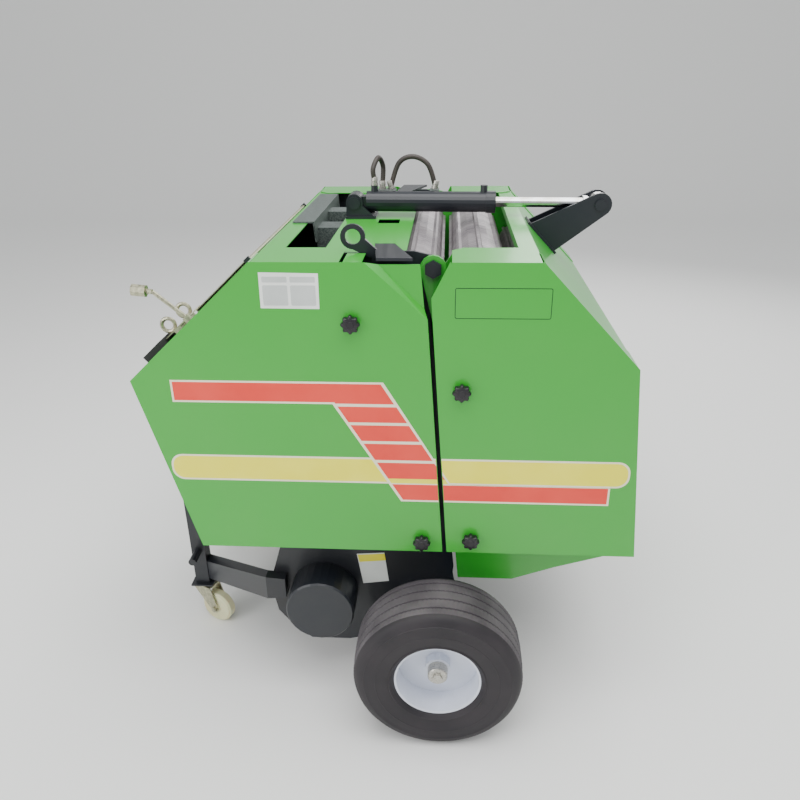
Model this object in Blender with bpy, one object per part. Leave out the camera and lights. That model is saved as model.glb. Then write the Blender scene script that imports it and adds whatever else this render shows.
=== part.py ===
"""A mini round baler: fixed roller chamber, swing-up rear gate, pick-up reel, two tyres.

Metres. +X is the rear of the machine, +Y its right-hand side, +Z up, and the floor is at Z = 0.
Every shape below is written in axle coordinates: X = 0 is the wheel axle. The empty
axle_datum then carries the whole machine to where the middle of its length is X = 0.
"""

import math

import bmesh
import bpy
from mathutils import Matrix, Vector

# ---------------------------------------------------------------- driving dimensions
AXLE_X = 0.154               # the axle, behind the middle of the machine's length
GAP = 0.0003                 # between pieces that touch
RUNNING_GAP = 0.0006         # between a shaft and what it turns in
TURNING_CLEARANCE = 0.0001   # between a shaft's corners and the flats of a hole, at its closest
HOLE_SIDES = 12
CLEARANCE = 0.006            # between pieces that pass each other
SHEET = 0.002                # covers and panels
WALL = 0.005                 # chamber side walls

# the bale chamber: a ring of rollers between two side walls
BALE_LENGTH = 0.81           # between the walls' inner faces
CHAMBER_X = 0.007
CHAMBER_Z = 0.78
ROLLER_RING = 0.32           # radius of the circle of roller centres
ROLLER_RADIUS = 0.0625
ROLLER_RIB = 0.0065
ROLLER_RIBS = 8
ROLLER_WALL = 0.004
ROLLER_DISC = 0.008          # end discs
ROLLER_HOLE = 0.012
ROLLER_HOLE_AT = 0.038
ROLLER_SHAFT = 0.015
FIRST_ROLLER_DEG = 13.5      # from straight up, to each side of the split
ROLLER_PITCH_DEG = 30.5
INLET_PLACE = 4              # the place in the front row that the crop inlet takes

# the outline of the side covers, seen from the side
COVER_SPACE = 0.09           # from the chamber walls' outer faces to the covers' outer faces
TOP_Z = 1.17
COVER_FOOT_Z = 0.47
NOSE = (-0.684, 0.904)
TOP_FRONT_X = -0.394
FRONT_FOOT_X = -0.575
GATE_TOP_REAR_X = 0.202
GATE_BACK = (0.414, 0.944)
GATE_FOOT_X = 0.457
SPLIT_FOOT_X = 0.012         # the line where the gate parts from the body, at the covers' foot
SPLIT_LEAN_DEG = 3.6
SPLIT_GAP = 0.010
WALL_SPLIT_FOOT = (0.040, 0.360)   # the same parting in the chamber walls
WALL_SPLIT_LEAN_DEG = 5.4
WALL_SPLIT_GAP = 0.008
CORNER_CUT_X = -0.145        # the front cover's cut corner
CORNER_CUT_Z = 1.050
GATE_CHAMFER_Z = 1.095
TOP_LAP = 0.13               # width of the covers' top flanges
SIDE_LIP = 0.015             # narrow folded lips
FRONT_FLAP_REAR_X = -0.205

# the gate's hinge and its hydraulic cylinder
HINGE = (-0.020, 1.140)
HINGE_PIN = 0.0125
CYLINDER_FOOT = (-0.232, 1.207)
ROD_EYE = (0.392, 1.201)
TUBE_RADIUS = 0.026
ROD_RADIUS = 0.0125
TUBE_LENGTH = 0.362          # foot pin to gland
EYE_RADIUS = 0.026
CYLINDER_PIN = 0.011
CHEEK = 0.008                # bracket and arm cheek plates
CHEEK_GAP = 0.003            # between an eye and the cheek beside it

# running gear
TYRE_RADIUS = 0.203
TYRE_WIDTH = 0.165
TYRE_OUTER_Y = 0.66
RIM_RADIUS = 0.1016
RIM_FLANGE = 0.1185
RIM_HALF = 0.066
RIM_WALL = 0.0032
AXLE_RADIUS = 0.019
AXLE_BEAM = 0.060
HUB_RADIUS = 0.030

# pick-up
REEL_X = -0.300
REEL_Z = 0.274
TINE_TIP = 0.185
TINE_BAR = 0.100
TINE_SPACING = 0.066
TINES_A_BAR = 11
BAND_RADIUS = 0.140
SLOT_WIDTH = 0.020
PICKUP_COVER = 0.087

# hitch frame and parking casters
POST_X = -0.703
POST_Y = 0.21
POST = 0.040
POST_FOOT_Z = 0.135
POST_TOP_Z = 0.600
LINK_PIN_Z = 0.250
LINK_PIN = 0.011
CROSS_BEAM = 0.060
CROSS_BEAM_X = -0.600
CROSS_BEAM_Z = 0.450
CASTER_RADIUS = 0.050
CASTER_WIDTH = 0.030
CASTER_TRAIL = 0.040
CASTER_TURN_DEG = 20
PTO_Z = 0.520
PTO_RADIUS = 0.0175
PTO_FRONT_X = -0.765

# ---------------------------------------------------------------- derived values
WALL_INNER = BALE_LENGTH / 2
WALL_OUTER = WALL_INNER + WALL
COVER_Y = WALL_OUTER + COVER_SPACE
ROLLER_HALF = WALL_INNER - CLEARANCE
COVER_INNER = COVER_Y - SHEET
TYRE_MID_Y = TYRE_OUTER_Y - TYRE_WIDTH / 2
WALL_TOP_Z = TOP_Z - SHEET - GAP


# ---------------------------------------------------------------- small tools
def material(name, colour, roughness, metallic=0.0):
    made = bpy.data.materials.new(name)
    made.use_nodes = True
    shader = made.node_tree.nodes["Principled BSDF"]
    shader.inputs["Base Color"].default_value = (*colour, 1.0)
    shader.inputs["Roughness"].default_value = roughness
    shader.inputs["Metallic"].default_value = metallic
    made.diffuse_color = (*colour, 1.0)
    return made


def direction(degrees):
    """A unit vector in the side view, turned from the rear (+X) towards the top (+Z)."""
    angle = math.radians(degrees)
    return Vector((math.cos(angle), math.sin(angle)))


def split_x(z):
    """The line where the covers of body and gate part: it leans forward as it rises."""
    return SPLIT_FOOT_X - (z - COVER_FOOT_Z) * math.tan(math.radians(SPLIT_LEAN_DEG))


def wall_split_x(z):
    """The line where the chamber walls part."""
    rise = z - WALL_SPLIT_FOOT[1]
    return WALL_SPLIT_FOOT[0] - rise * math.tan(math.radians(WALL_SPLIT_LEAN_DEG))


def circle(centre, radius, sides, start=0.0):
    """A closed ring of points, the first at the angle start, in degrees."""
    points = []
    for step in range(sides):
        ray = direction(start + 360 * step / sides)
        points.append((centre[0] + radius * ray.x, centre[1] + radius * ray.y))
    return points


def arc(centre, radius, first, last, steps):
    """Points on a circle from the angle first to the angle last, both included."""
    points = []
    for step in range(steps + 1):
        ray = direction(first + (last - first) * step / steps)
        points.append((centre[0] + radius * ray.x, centre[1] + radius * ray.y))
    return points


def beside(points, distance):
    """The path moved to its left by this distance, with mitred corners."""
    path = [Vector(point) for point in points]
    moved = []
    for index, point in enumerate(path):
        before = (point - path[max(index - 1, 0)]).normalized()
        after = (path[min(index + 1, len(path) - 1)] - point).normalized()
        along = (before + after).normalized()
        left = Vector((-along.y, along.x))
        straight = after if index == 0 else before
        reach = left.dot(Vector((-straight.y, straight.x)))
        moved.append(tuple(point + left * distance / reach))
    return moved


def folded(points, thickness):
    """The outline of a folded strip: the path, and the path again beside it."""
    return list(points) + beside(points, thickness)[::-1]


AXES = {"Y": (0, 2, 1), "X": (1, 2, 0), "Z": (0, 1, 2)}


def prism(outline, low, high, along="Y"):
    """A straight piece: the outline in the plane across `along`, from low to high."""
    first, second, third = AXES[along]
    shape = bmesh.new()
    rings = []
    for level in (low, high):
        ring = []
        for point in outline:
            place = [0.0, 0.0, 0.0]
            place[first], place[second], place[third] = point[0], point[1], level
            ring.append(shape.verts.new(place))
        rings.append(ring)
    shape.faces.new(rings[0])
    shape.faces.new(rings[1])
    count = len(outline)
    for index in range(count):
        after = (index + 1) % count
        shape.faces.new((rings[0][index], rings[0][after], rings[1][after], rings[1][index]))
    bmesh.ops.recalc_face_normals(shape, faces=shape.faces)
    return shape


def box(low, high):
    corners = [(low[0], low[2]), (high[0], low[2]), (high[0], high[2]), (low[0], high[2])]
    return prism(corners, low[1], high[1])


def pin(point, radius, low, high, along="Y", sides=16):
    """A round bar across the side view, or along another axis."""
    return prism(circle(point, radius, sides, 180 / sides), low, high, along)


def rod(start, end, radius, sides=8):
    """A round bar from start to end."""
    start = Vector(start)
    end = Vector(end)
    shape = prism(circle((0, 0), radius, sides), 0, (end - start).length, "Z")
    turn = (end - start).to_track_quat("Z", "Y").to_matrix().to_4x4()
    bmesh.ops.transform(shape, matrix=Matrix.Translation(start) @ turn, verts=shape.verts)
    return shape


def turned(profile, centre, steps, side=1):
    """A turned piece: profile is (radius, distance along the axis) all the way round.

    The axis runs along Y through centre; side -1 turns the profile's distances round.
    """
    shape = bmesh.new()
    rings = []
    for radius, reach in profile:
        count = 1 if radius == 0 else steps
        ring = []
        for step in range(count):
            ray = direction(-90 + 360 * step / steps)
            ring.append(shape.verts.new((centre[0] + radius * ray.x, centre[1] + side * reach,
                                         centre[2] + radius * ray.y)))
        rings.append(ring)
    for index, ring in enumerate(rings):
        other = rings[(index + 1) % len(rings)]
        if len(ring) == 1 and len(other) == 1:
            continue
        for step in range(steps):
            after = (step + 1) % steps
            corners = [ring[step % len(ring)], ring[after % len(ring)],
                       other[after % len(other)], other[step % len(other)]]
            corners = list(dict.fromkeys(corners))
            shape.faces.new(corners)
    bmesh.ops.recalc_face_normals(shape, faces=shape.faces)
    return shape


def span(side, inner, outer):
    """Low and high Y of a stretch on one side of the machine: side is -1 left, 1 right."""
    return sorted((side * inner, side * outer))


def several(shapes):
    """Shapes that don't touch, put in one mesh: a row of cutters."""
    joined = bmesh.new()
    for shape in shapes:
        mesh = bpy.data.meshes.new("row")
        shape.to_mesh(mesh)
        shape.free()
        joined.from_mesh(mesh)
        bpy.data.meshes.remove(mesh)
    return joined


# ---------------------------------------------------------------- bodies and pieces
for old in list(bpy.data.objects):
    bpy.data.objects.remove(old, do_unlink=True)

datum = bpy.data.objects.new("axle_datum", None)
bpy.context.scene.collection.objects.link(datum)
datum.location = (AXLE_X, 0, 0)


def pivot(name, point, parent=datum, turn_deg=0.0):
    """An empty on a joint's axis, in axle coordinates; its pieces hang from it."""
    empty = bpy.data.objects.new(name, None)
    bpy.context.scene.collection.objects.link(empty)
    empty.parent = parent
    empty.location = Vector(point) - place_of(parent)
    empty.rotation_euler.z = math.radians(turn_deg)
    return empty


def place_of(empty):
    """Where an empty stands, in axle coordinates."""
    place = Vector((0, 0, 0))
    while empty is not None and empty is not datum:
        place += empty.location
        empty = empty.parent
    return place


def link(name, shape, carrier):
    """Make an object from a shape, with its origin at its carrier's place."""
    bmesh.ops.translate(shape, vec=-place_of(carrier), verts=shape.verts)
    mesh = bpy.data.meshes.new(name)
    shape.to_mesh(mesh)
    shape.free()
    made = bpy.data.objects.new(name, mesh)
    bpy.context.scene.collection.objects.link(made)
    made.parent = carrier
    return made


def piece(name, finish, carrier, shapes, cuts=()):
    """One sub-part: its first shape, joined by the others, then cut by each of cuts."""
    made = link(name, shapes[0], carrier)
    made.data.materials.append(finish)
    helpers = [(shape, "UNION") for shape in shapes[1:]] + [(shape, "DIFFERENCE") for shape in cuts]
    for number, (shape, operation) in enumerate(helpers):
        helper = link(f"{name}_tool_{number}", shape, carrier)
        helper.hide_render = True
        helper.display_type = "WIRE"
        step = made.modifiers.new(operation.lower(), "BOOLEAN")
        step.operation = operation
        step.solver = "EXACT"
        step.object = helper
    made.data.shade_smooth()
    made.data.set_sharp_from_angle(angle=math.radians(35))
    return made


# ---------------------------------------------------------------- finishes
GREEN = material("green_enamel", (0.045, 0.40, 0.035), 0.35)
BLACK = material("black_enamel", (0.012, 0.014, 0.022), 0.45)
STEEL = material("roller_steel", (0.33, 0.32, 0.34), 0.45, 0.8)
CHROME = material("chromed_rod", (0.62, 0.62, 0.60), 0.12, 1.0)
RUBBER = material("tyre_rubber", (0.022, 0.020, 0.022), 0.85)
WHITE = material("white_rim_enamel", (0.80, 0.82, 0.88), 0.30)
CREAM = material("caster_nylon", (0.68, 0.66, 0.42), 0.50)
GREY = material("zinc_plate", (0.30, 0.31, 0.33), 0.40, 0.7)
HOSE = material("hose_rubber", (0.020, 0.020, 0.022), 0.60)

# ---------------------------------------------------------------- joint places
SIDES = {"left": -1, "right": 1}

gate = pivot("gate_hinge", (HINGE[0], 0, HINGE[1]))
cylinder = pivot("cylinder_foot", (CYLINDER_FOOT[0], 0, CYLINDER_FOOT[1]))
reel = pivot("reel_axis", (REEL_X, 0, REEL_Z))


def roller_place(row, number):
    """Centre of a roller: row -1 runs down the front, row 1 down the rear."""
    angle = 90 - row * (FIRST_ROLLER_DEG + number * ROLLER_PITCH_DEG)
    ray = direction(angle)
    return (CHAMBER_X + ROLLER_RING * ray.x, CHAMBER_Z + ROLLER_RING * ray.y)


FRONT_ROLLERS = [roller_place(-1, number) for number in range(6) if number != INLET_PLACE]
GATE_ROLLERS = [roller_place(1, number) for number in range(6)]

# the machine's outline, and the line just inside the covers where walls and panels end
COVER_FRONT = [(FRONT_FOOT_X, COVER_FOOT_Z), NOSE, (TOP_FRONT_X, TOP_Z), (0, TOP_Z)]
COVER_BACK = [(0, TOP_Z), (GATE_TOP_REAR_X, TOP_Z), GATE_BACK, (GATE_FOOT_X, COVER_FOOT_Z)]
INSET = SHEET + GAP
EDGE_FRONT = beside(COVER_FRONT, -INSET)
EDGE_BACK = beside(COVER_BACK, -INSET)


def along_edge(edge, first, second, share):
    """A point part of the way between two points of an edge."""
    start = Vector(edge[first])
    return tuple(start.lerp(Vector(edge[second]), share))


# ---------------------------------------------------------------- chamber side walls
SIDE_PLATE = [(0.034, 0.340), (0.050, 0.250), (0.045, 0.160), (-0.045, 0.160), (-0.240, 0.108),
              (-0.345, 0.108), (-0.392, 0.148), (-0.430, 0.200), (-0.445, 0.290), (-0.410, 0.405),
              (-0.460, 0.430), (-0.595, 0.430)]
FRONT_STUDS = [(-0.189, 1.043), (-0.042, 0.502)]
GATE_STUDS = [(0.044, 0.891), (0.073, 0.510)]
STUD_RADIUS = 0.006
REEL_SHAFT = 0.020


def side_wall(name, finish, outline, holes, studs, side, carrier, extra=()):
    """A chamber wall with holes for the shafts and studs for the cover's star knobs."""
    shapes = [prism(outline, *span(side, WALL_INNER, WALL_OUTER))]
    for stud in studs:
        shapes.append(pin(stud, STUD_RADIUS, *span(side, WALL_INNER + WALL / 2, COVER_INNER - GAP),
                          sides=8))
    shapes.extend(extra)
    cutters = []
    for centre, radius in holes:
        cutters.append(pin(centre, radius, *span(side, WALL_INNER - WALL, COVER_INNER),
                           sides=HOLE_SIDES))
    piece(name, finish, carrier, shapes, [several(cutters)])


front_edge_top = (wall_split_x(WALL_TOP_Z) - WALL_SPLIT_GAP / 2, WALL_TOP_Z)
front_edge_foot = (wall_split_x(0.36) - WALL_SPLIT_GAP / 2, 0.36)
CHASSIS_WALL = EDGE_FRONT[:3] + [front_edge_top, front_edge_foot] + SIDE_PLATE


def turning_hole(radius):
    """Corner radius of a twelve-sided hole whose flats clear the corners of the shaft in it."""
    return (radius + TURNING_CLEARANCE) / math.cos(math.pi / HOLE_SIDES)


shaft_hole = turning_hole(ROLLER_SHAFT)
CHASSIS_HOLES = [(place, shaft_hole) for place in FRONT_ROLLERS]
CHASSIS_HOLES.append(((REEL_X, REEL_Z), turning_hole(REEL_SHAFT)))
CHASSIS_HOLES.append(((0, TYRE_RADIUS), AXLE_RADIUS + RUNNING_GAP))
for word, side in SIDES.items():
    side_wall(f"chamber_wall_{word}", BLACK, CHASSIS_WALL, CHASSIS_HOLES, FRONT_STUDS, side, datum)

GATE_WALL = [(wall_split_x(0.325) + WALL_SPLIT_GAP / 2, 0.325),
             (wall_split_x(1.10) + WALL_SPLIT_GAP / 2, 1.10),
             (0.020, WALL_TOP_Z), EDGE_BACK[1], EDGE_BACK[2], EDGE_BACK[3],
             (0.430, 0.410), (0.290, 0.365), (0.185, 0.325)]
LUG_Y = WALL_OUTER + 0.0145          # inner face of the gate's hinge lug
LUG = 0.008
LUG_OUTLINE = arc(HINGE, 0.028, 0, 180, 8) + [(-0.012, 0.985), (0.050, 0.985)]
LUG_PAD = [(-0.008, 0.985), (0.050, 0.985), (0.032, 1.050), (-0.010, 1.050)]
GATE_HOLES = [(place, shaft_hole) for place in GATE_ROLLERS]
GATE_HOLES.append((HINGE, HINGE_PIN + RUNNING_GAP))
for word, side in SIDES.items():
    lug = prism(LUG_OUTLINE, *span(side, LUG_Y, LUG_Y + LUG))
    pad = prism(LUG_PAD, *span(side, WALL_OUTER - WALL / 2, LUG_Y + LUG / 2))
    side_wall(f"gate_wall_{word}", GREEN, GATE_WALL, GATE_HOLES, GATE_STUDS, side, gate, (lug, pad))


# ---------------------------------------------------------------- rollers
def ribbed_outline(centre):
    """A roller's section: shallow flutes between raised ribs."""
    points = []
    pitch = 360 / ROLLER_RIBS
    rib = 6.0
    for number in range(ROLLER_RIBS):
        middle = number * pitch
        for turn, radius in ((-rib, ROLLER_RADIUS), (-rib / 2, ROLLER_RADIUS + ROLLER_RIB),
                             (rib / 2, ROLLER_RADIUS + ROLLER_RIB), (rib, ROLLER_RADIUS),
                             (pitch / 2, ROLLER_RADIUS)):
            ray = direction(middle + turn)
            points.append((centre[0] + radius * ray.x, centre[1] + radius * ray.y))
    return points


def roller(name, place, carrier):
    """A ribbed tube on a through shaft, with an end disc at each end, holed to save weight."""
    axis = pivot(f"{name}_axis", (place[0], 0, place[1]), carrier)
    shaft_half = WALL_OUTER + 0.010
    inside_half = ROLLER_HALF - ROLLER_DISC
    inside = turned([(ROLLER_RADIUS - ROLLER_WALL, -inside_half),
                     (ROLLER_RADIUS - ROLLER_WALL, inside_half),
                     (ROLLER_SHAFT + ROLLER_WALL, inside_half),
                     (ROLLER_SHAFT + ROLLER_WALL, -inside_half)], (place[0], 0, place[1]), 12)
    holes = [pin((place[0], place[1] + hand * ROLLER_HOLE_AT), ROLLER_HOLE, -WALL_INNER, WALL_INNER,
                 sides=6) for hand in (-1, 1)]
    piece(name, STEEL, axis, [prism(ribbed_outline(place), -ROLLER_HALF, ROLLER_HALF),
                              pin(place, ROLLER_SHAFT, -shaft_half, shaft_half, sides=12)],
          [inside, several(holes)])


for number, place in enumerate(FRONT_ROLLERS):
    roller(f"front_roller_{number + 1}", place, datum)
for number, place in enumerate(GATE_ROLLERS):
    roller(f"gate_roller_{number + 1}", place, gate)

# ---------------------------------------------------------------- side covers
NOTCH = 0.004                # relief at the ends of a folded flange
FLAP_CUT = 0.025             # the clipped corners of the wide top flanges
JOGGLE = 0.012               # how far the front cover's top rear corner is set in


def skin(name, finish, carrier, polygons, outward):
    """A folded sheet: flat polygons that share corners, thickened towards the inside."""
    shape = bmesh.new()
    known = {}
    for polygon in polygons:
        corners = []
        for point in polygon:
            key = tuple(round(value, 6) for value in point)
            if key not in known:
                known[key] = shape.verts.new(point)
            corners.append(known[key])
        shape.faces.new(corners)
    shape.faces.ensure_lookup_table()
    bmesh.ops.recalc_face_normals(shape, faces=shape.faces)
    shape.normal_update()
    if shape.faces[0].normal.dot(Vector(outward)) < 0:
        bmesh.ops.reverse_faces(shape, faces=shape.faces)
    made = link(name, shape, carrier)
    made.data.materials.append(finish)
    wall = made.modifiers.new("sheet", "SOLIDIFY")
    wall.thickness = SHEET
    wall.offset = -1
    wall.solidify_mode = "NON_MANIFOLD"
    wall.nonmanifold_thickness_mode = "CONSTRAINTS"
    return made


def cover_polygons(outline, side, set_in=()):
    """A cover's face and its flanges.

    outline lists (x, z, flange width of the edge that starts here, clip of the flange's ends).
    set_in lists polygons of (x, z, depth) that close the face's own corners.
    """
    face = []
    flanges = []
    count = len(outline)
    for index, (x, z, width, clip) in enumerate(outline):
        here = Vector((x, z))
        after = Vector(outline[(index + 1) % count][:2])
        face.append((x, side * COVER_Y, z))
        if width:
            along = (after - here).normalized()
            start = here + along * NOTCH
            end = after - along * NOTCH
            far_start = start + along * clip
            far_end = end - along * clip
            inner = side * (COVER_Y - width)
            middle = side * (COVER_Y - max(width - clip, SHEET))
            face += [(start.x, side * COVER_Y, start.y), (end.x, side * COVER_Y, end.y)]
            flange = [(start.x, side * COVER_Y, start.y), (end.x, side * COVER_Y, end.y)]
            if clip:
                flange += [(end.x, middle, end.y), (far_end.x, inner, far_end.y),
                           (far_start.x, inner, far_start.y), (start.x, middle, start.y)]
            else:
                flange += [(end.x, inner, end.y), (start.x, inner, start.y)]
            flanges.append(flange)
    extra = [[(x, side * (COVER_Y - depth), z) for x, z, depth in polygon] for polygon in set_in]
    return [face] + extra + flanges


WALL_LAP = COVER_Y - WALL_INNER        # a flange that reaches over the chamber wall's edge
EYE_LAP = COVER_Y - WALL_OUTER - 0.012 # a narrower one, clear of the lifting eye
front_split = -SPLIT_GAP / 2
corner_top = (split_x(TOP_Z) + front_split - 0.008, TOP_Z - 0.007)
corner_foot = (split_x(CORNER_CUT_Z - 0.03) + front_split, CORNER_CUT_Z - 0.03)
fold_top = (CORNER_CUT_X + 0.015, TOP_Z - 0.007)
FRONT_COVER = [
    (FRONT_FOOT_X, COVER_FOOT_Z, WALL_LAP, 0), (*NOSE, WALL_LAP, 0),
    (TOP_FRONT_X, TOP_Z, TOP_LAP, FLAP_CUT), (FRONT_FLAP_REAR_X, TOP_Z, EYE_LAP, 0),
    (CORNER_CUT_X - 0.013, TOP_Z, 0, 0), (split_x(CORNER_CUT_Z) + front_split, CORNER_CUT_Z, 0, 0),
    (*corner_foot, SIDE_LIP, 0), (SPLIT_FOOT_X + front_split, COVER_FOOT_Z, SIDE_LIP, 0)]
SET_IN_CORNER = [
    [(CORNER_CUT_X - 0.013, TOP_Z, 0), (split_x(CORNER_CUT_Z) + front_split, CORNER_CUT_Z, 0),
     (split_x(CORNER_CUT_Z + 0.02) + front_split - 0.006, CORNER_CUT_Z + 0.02, JOGGLE),
     (*fold_top, JOGGLE)],
    [(*fold_top, JOGGLE),
     (split_x(CORNER_CUT_Z + 0.02) + front_split - 0.006, CORNER_CUT_Z + 0.02, JOGGLE),
     (*corner_top, JOGGLE)]]
gate_split = SPLIT_GAP / 2
GATE_COVER = [
    (SPLIT_FOOT_X + gate_split, COVER_FOOT_Z, SIDE_LIP, 0),
    (split_x(GATE_CHAMFER_Z) + gate_split, GATE_CHAMFER_Z, 0, 0),
    (SPLIT_FOOT_X + 0.003, TOP_Z, TOP_LAP, FLAP_CUT), (GATE_TOP_REAR_X, TOP_Z, WALL_LAP, 0),
    (*GATE_BACK, WALL_LAP, 0), (GATE_FOOT_X, COVER_FOOT_Z, SIDE_LIP, 0)]
for word, side in SIDES.items():
    skin(f"front_cover_{word}", GREEN, datum, cover_polygons(FRONT_COVER, side, SET_IN_CORNER),
         (0, side, 0))
    skin(f"gate_cover_{word}", GREEN, gate, cover_polygons(GATE_COVER, side), (0, side, 0))

# ---------------------------------------------------------------- panels between the walls
PANEL_HALF = WALL_INNER - GAP
PANEL_FOOT = along_edge(EDGE_FRONT, 0, 1, 0.30)
TOP_RETURN_X = -0.345
TOP_SHEET_FRONT_X = -0.256
TOP_SHEET_REAR_X = -0.078
GATE_SHEET_FRONT_X = 0.162
LID_HALF = 0.34
LID_TOP = along_edge(EDGE_FRONT, 1, 2, 0.86)
LID_FOOT = along_edge(EDGE_FRONT, 1, 2, 0.40)
WINDOW_MARGIN = 0.018

slope_turn = math.degrees(math.atan2(TOP_Z - NOSE[1], TOP_FRONT_X - NOSE[0]))
slope_along = direction(slope_turn)
slope_out = direction(slope_turn + 90)


def on_slope(point, along, out):
    """A point moved up along the front slope and out from it."""
    moved = Vector(point) + slope_along * along + slope_out * out
    return (moved.x, moved.y)


window = [on_slope(LID_FOOT, WINDOW_MARGIN, 0.02), on_slope(LID_TOP, -WINDOW_MARGIN, 0.02),
          on_slope(LID_TOP, -WINDOW_MARGIN, -0.02), on_slope(LID_FOOT, WINDOW_MARGIN, -0.02)]
FRONT_PANEL = [(-0.385, 0.640), (PANEL_FOOT[0] + 0.004, 0.600), EDGE_FRONT[1], EDGE_FRONT[2],
               (TOP_RETURN_X, WALL_TOP_Z)]
piece("front_panel", GREEN, datum, [prism(folded(FRONT_PANEL, -SHEET), -PANEL_HALF, PANEL_HALF)],
      [prism(window, -LID_HALF + WINDOW_MARGIN, LID_HALF - WINDOW_MARGIN)])

TOP_SHEET = [(TOP_SHEET_FRONT_X, WALL_TOP_Z - 0.025), (TOP_SHEET_FRONT_X, WALL_TOP_Z),
             (TOP_SHEET_REAR_X, WALL_TOP_Z)]
slot = box((-0.167, -0.092, WALL_TOP_Z - 0.01), (-0.113, -0.040, WALL_TOP_Z + 0.01))
piece("top_sheet", GREEN, datum, [prism(folded(TOP_SHEET, -SHEET), -PANEL_HALF, PANEL_HALF)], [slot])

GATE_SHEET = [(GATE_SHEET_FRONT_X, WALL_TOP_Z - 0.020), (GATE_SHEET_FRONT_X, WALL_TOP_Z),
              EDGE_BACK[1], EDGE_BACK[2], EDGE_BACK[3], (0.430, 0.410)]
piece("gate_sheet", GREEN, gate, [prism(folded(GATE_SHEET, -SHEET), -PANEL_HALF, PANEL_HALF)])

# the twine box lid, a flat zinc sheet with folded edges, hinged along its upper edge
LID_RISE = 0.010
lid_axis = on_slope(LID_TOP, 0, LID_RISE / 2)
lid = pivot("twine_lid_hinge", (lid_axis[0], 0, lid_axis[1]))
LID_PATH = [on_slope(LID_FOOT, 0, GAP), on_slope(LID_FOOT, 0, LID_RISE),
            on_slope(LID_TOP, -0.010, LID_RISE)]
KNUCKLE = 0.004
piece("twine_box_lid", GREY, lid, [prism(folded(LID_PATH, -SHEET), -LID_HALF, LID_HALF),
      prism([on_slope(LID_TOP, -0.012, LID_RISE), on_slope(LID_TOP, 0.001, LID_RISE / 2 + KNUCKLE),
             on_slope(LID_TOP, 0.001, LID_RISE / 2), on_slope(LID_TOP, -0.012, LID_RISE - SHEET)],
            -LID_HALF, LID_HALF),
      pin(lid_axis, KNUCKLE, -LID_HALF, LID_HALF, sides=8)])
for word, side in SIDES.items():
    ear = [on_slope(LID_TOP, -0.008, GAP), on_slope(LID_TOP, -0.008, 0.012),
           on_slope(LID_TOP, 0.008, 0.012), on_slope(LID_TOP, 0.008, GAP)]
    piece(f"lid_ear_{word}", BLACK, datum,
          [prism(ear, *span(side, LID_HALF + GAP, LID_HALF + 0.006))])

# ---------------------------------------------------------------- on the front slope and top
CRANK_Y = -0.385
crank_foot = on_slope(EDGE_FRONT[1], 0.150, GAP)
crank_top = on_slope(crank_foot, -0.012, 0.104)
crank_grip = (crank_top[0] - 0.046, crank_top[1] + 0.004)
foot3, top3 = [Vector((point[0], CRANK_Y, point[1])) for point in (crank_foot, crank_top)]
grip3 = Vector((crank_grip[0], CRANK_Y, crank_grip[1]))
boss_top = on_slope(crank_foot, 0, 0.016)
boss3 = Vector((boss_top[0], CRANK_Y, boss_top[1]))
piece("twine_crank", GREY, datum, [rod(foot3, boss3, 0.011), rod(foot3.lerp(boss3, 0.5), top3, 0.005),
                                   rod(top3, grip3, 0.006), rod(top3.lerp(grip3, 0.3), grip3, 0.014)])

RING_RADIUS = 0.016
RING_WIRE = 0.005
GUIDE_Y = (-0.365, -0.265)


def eyelet(centre, y):
    """A twine guide ring, a torus standing in the side view."""
    profile = [(RING_RADIUS + RING_WIRE * direction(45 * step).x,
                RING_WIRE * direction(45 * step).y) for step in range(8)]
    return turned(profile, (centre[0], y, centre[1]), 16)


guide_foot = on_slope(EDGE_FRONT[1], 0.062, 0)
guide_plate = [on_slope(guide_foot, 0, 0.010), on_slope(guide_foot, 0.075, 0.010),
               on_slope(guide_foot, 0.075, 0.013), on_slope(guide_foot, 0, 0.013)]
stand = [on_slope(guide_foot, 0.028, GAP), on_slope(guide_foot, 0.050, GAP),
         on_slope(guide_foot, 0.050, 0.011), on_slope(guide_foot, 0.028, 0.011)]
rings = [eyelet(on_slope(guide_foot, 0.018, 0.0305), GUIDE_Y[0] + 0.025),
         eyelet(on_slope(guide_foot, 0.048, 0.0305), GUIDE_Y[1] - 0.025)]
piece("twine_guide", BLACK, datum, [prism(guide_plate, *GUIDE_Y), prism(stand, *GUIDE_Y)] + rings)

PAD_THICK = 0.018
pad_foot = on_slope(EDGE_FRONT[1], 0.004, GAP)
pad_outline = [pad_foot, on_slope(pad_foot, 0.055, 0), on_slope(pad_foot, 0.055, PAD_THICK),
               on_slope(pad_foot, 0, PAD_THICK)]
piece("nose_pad", RUBBER, datum, [prism(pad_outline, -0.440 + 0.04, -0.300)])

beam_x = (TOP_FRONT_X + 0.012, TOP_RETURN_X + 0.014)
FEEDER_Y = (-0.095, 0.340)
twine_beam = [(beam_x[0], WALL_TOP_Z + GAP), (beam_x[1], WALL_TOP_Z + GAP),
              (beam_x[1] + 0.004, 1.120), (beam_x[1] + 0.008, 1.120),
              (beam_x[1] + 0.004, WALL_TOP_Z + GAP + 0.004), (beam_x[0], WALL_TOP_Z + GAP + 0.004)]
blocks = [box((beam_x[1] + 0.002, -0.060, 1.100), (TOP_SHEET_FRONT_X - 0.012, 0.020, 1.150)),
          box((beam_x[1] + 0.002, 0.120, 1.105), (TOP_SHEET_FRONT_X - 0.012, 0.190, 1.158))]
piece("twine_feeder", BLACK, datum, [prism(twine_beam, *FEEDER_Y)] + blocks)

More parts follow.
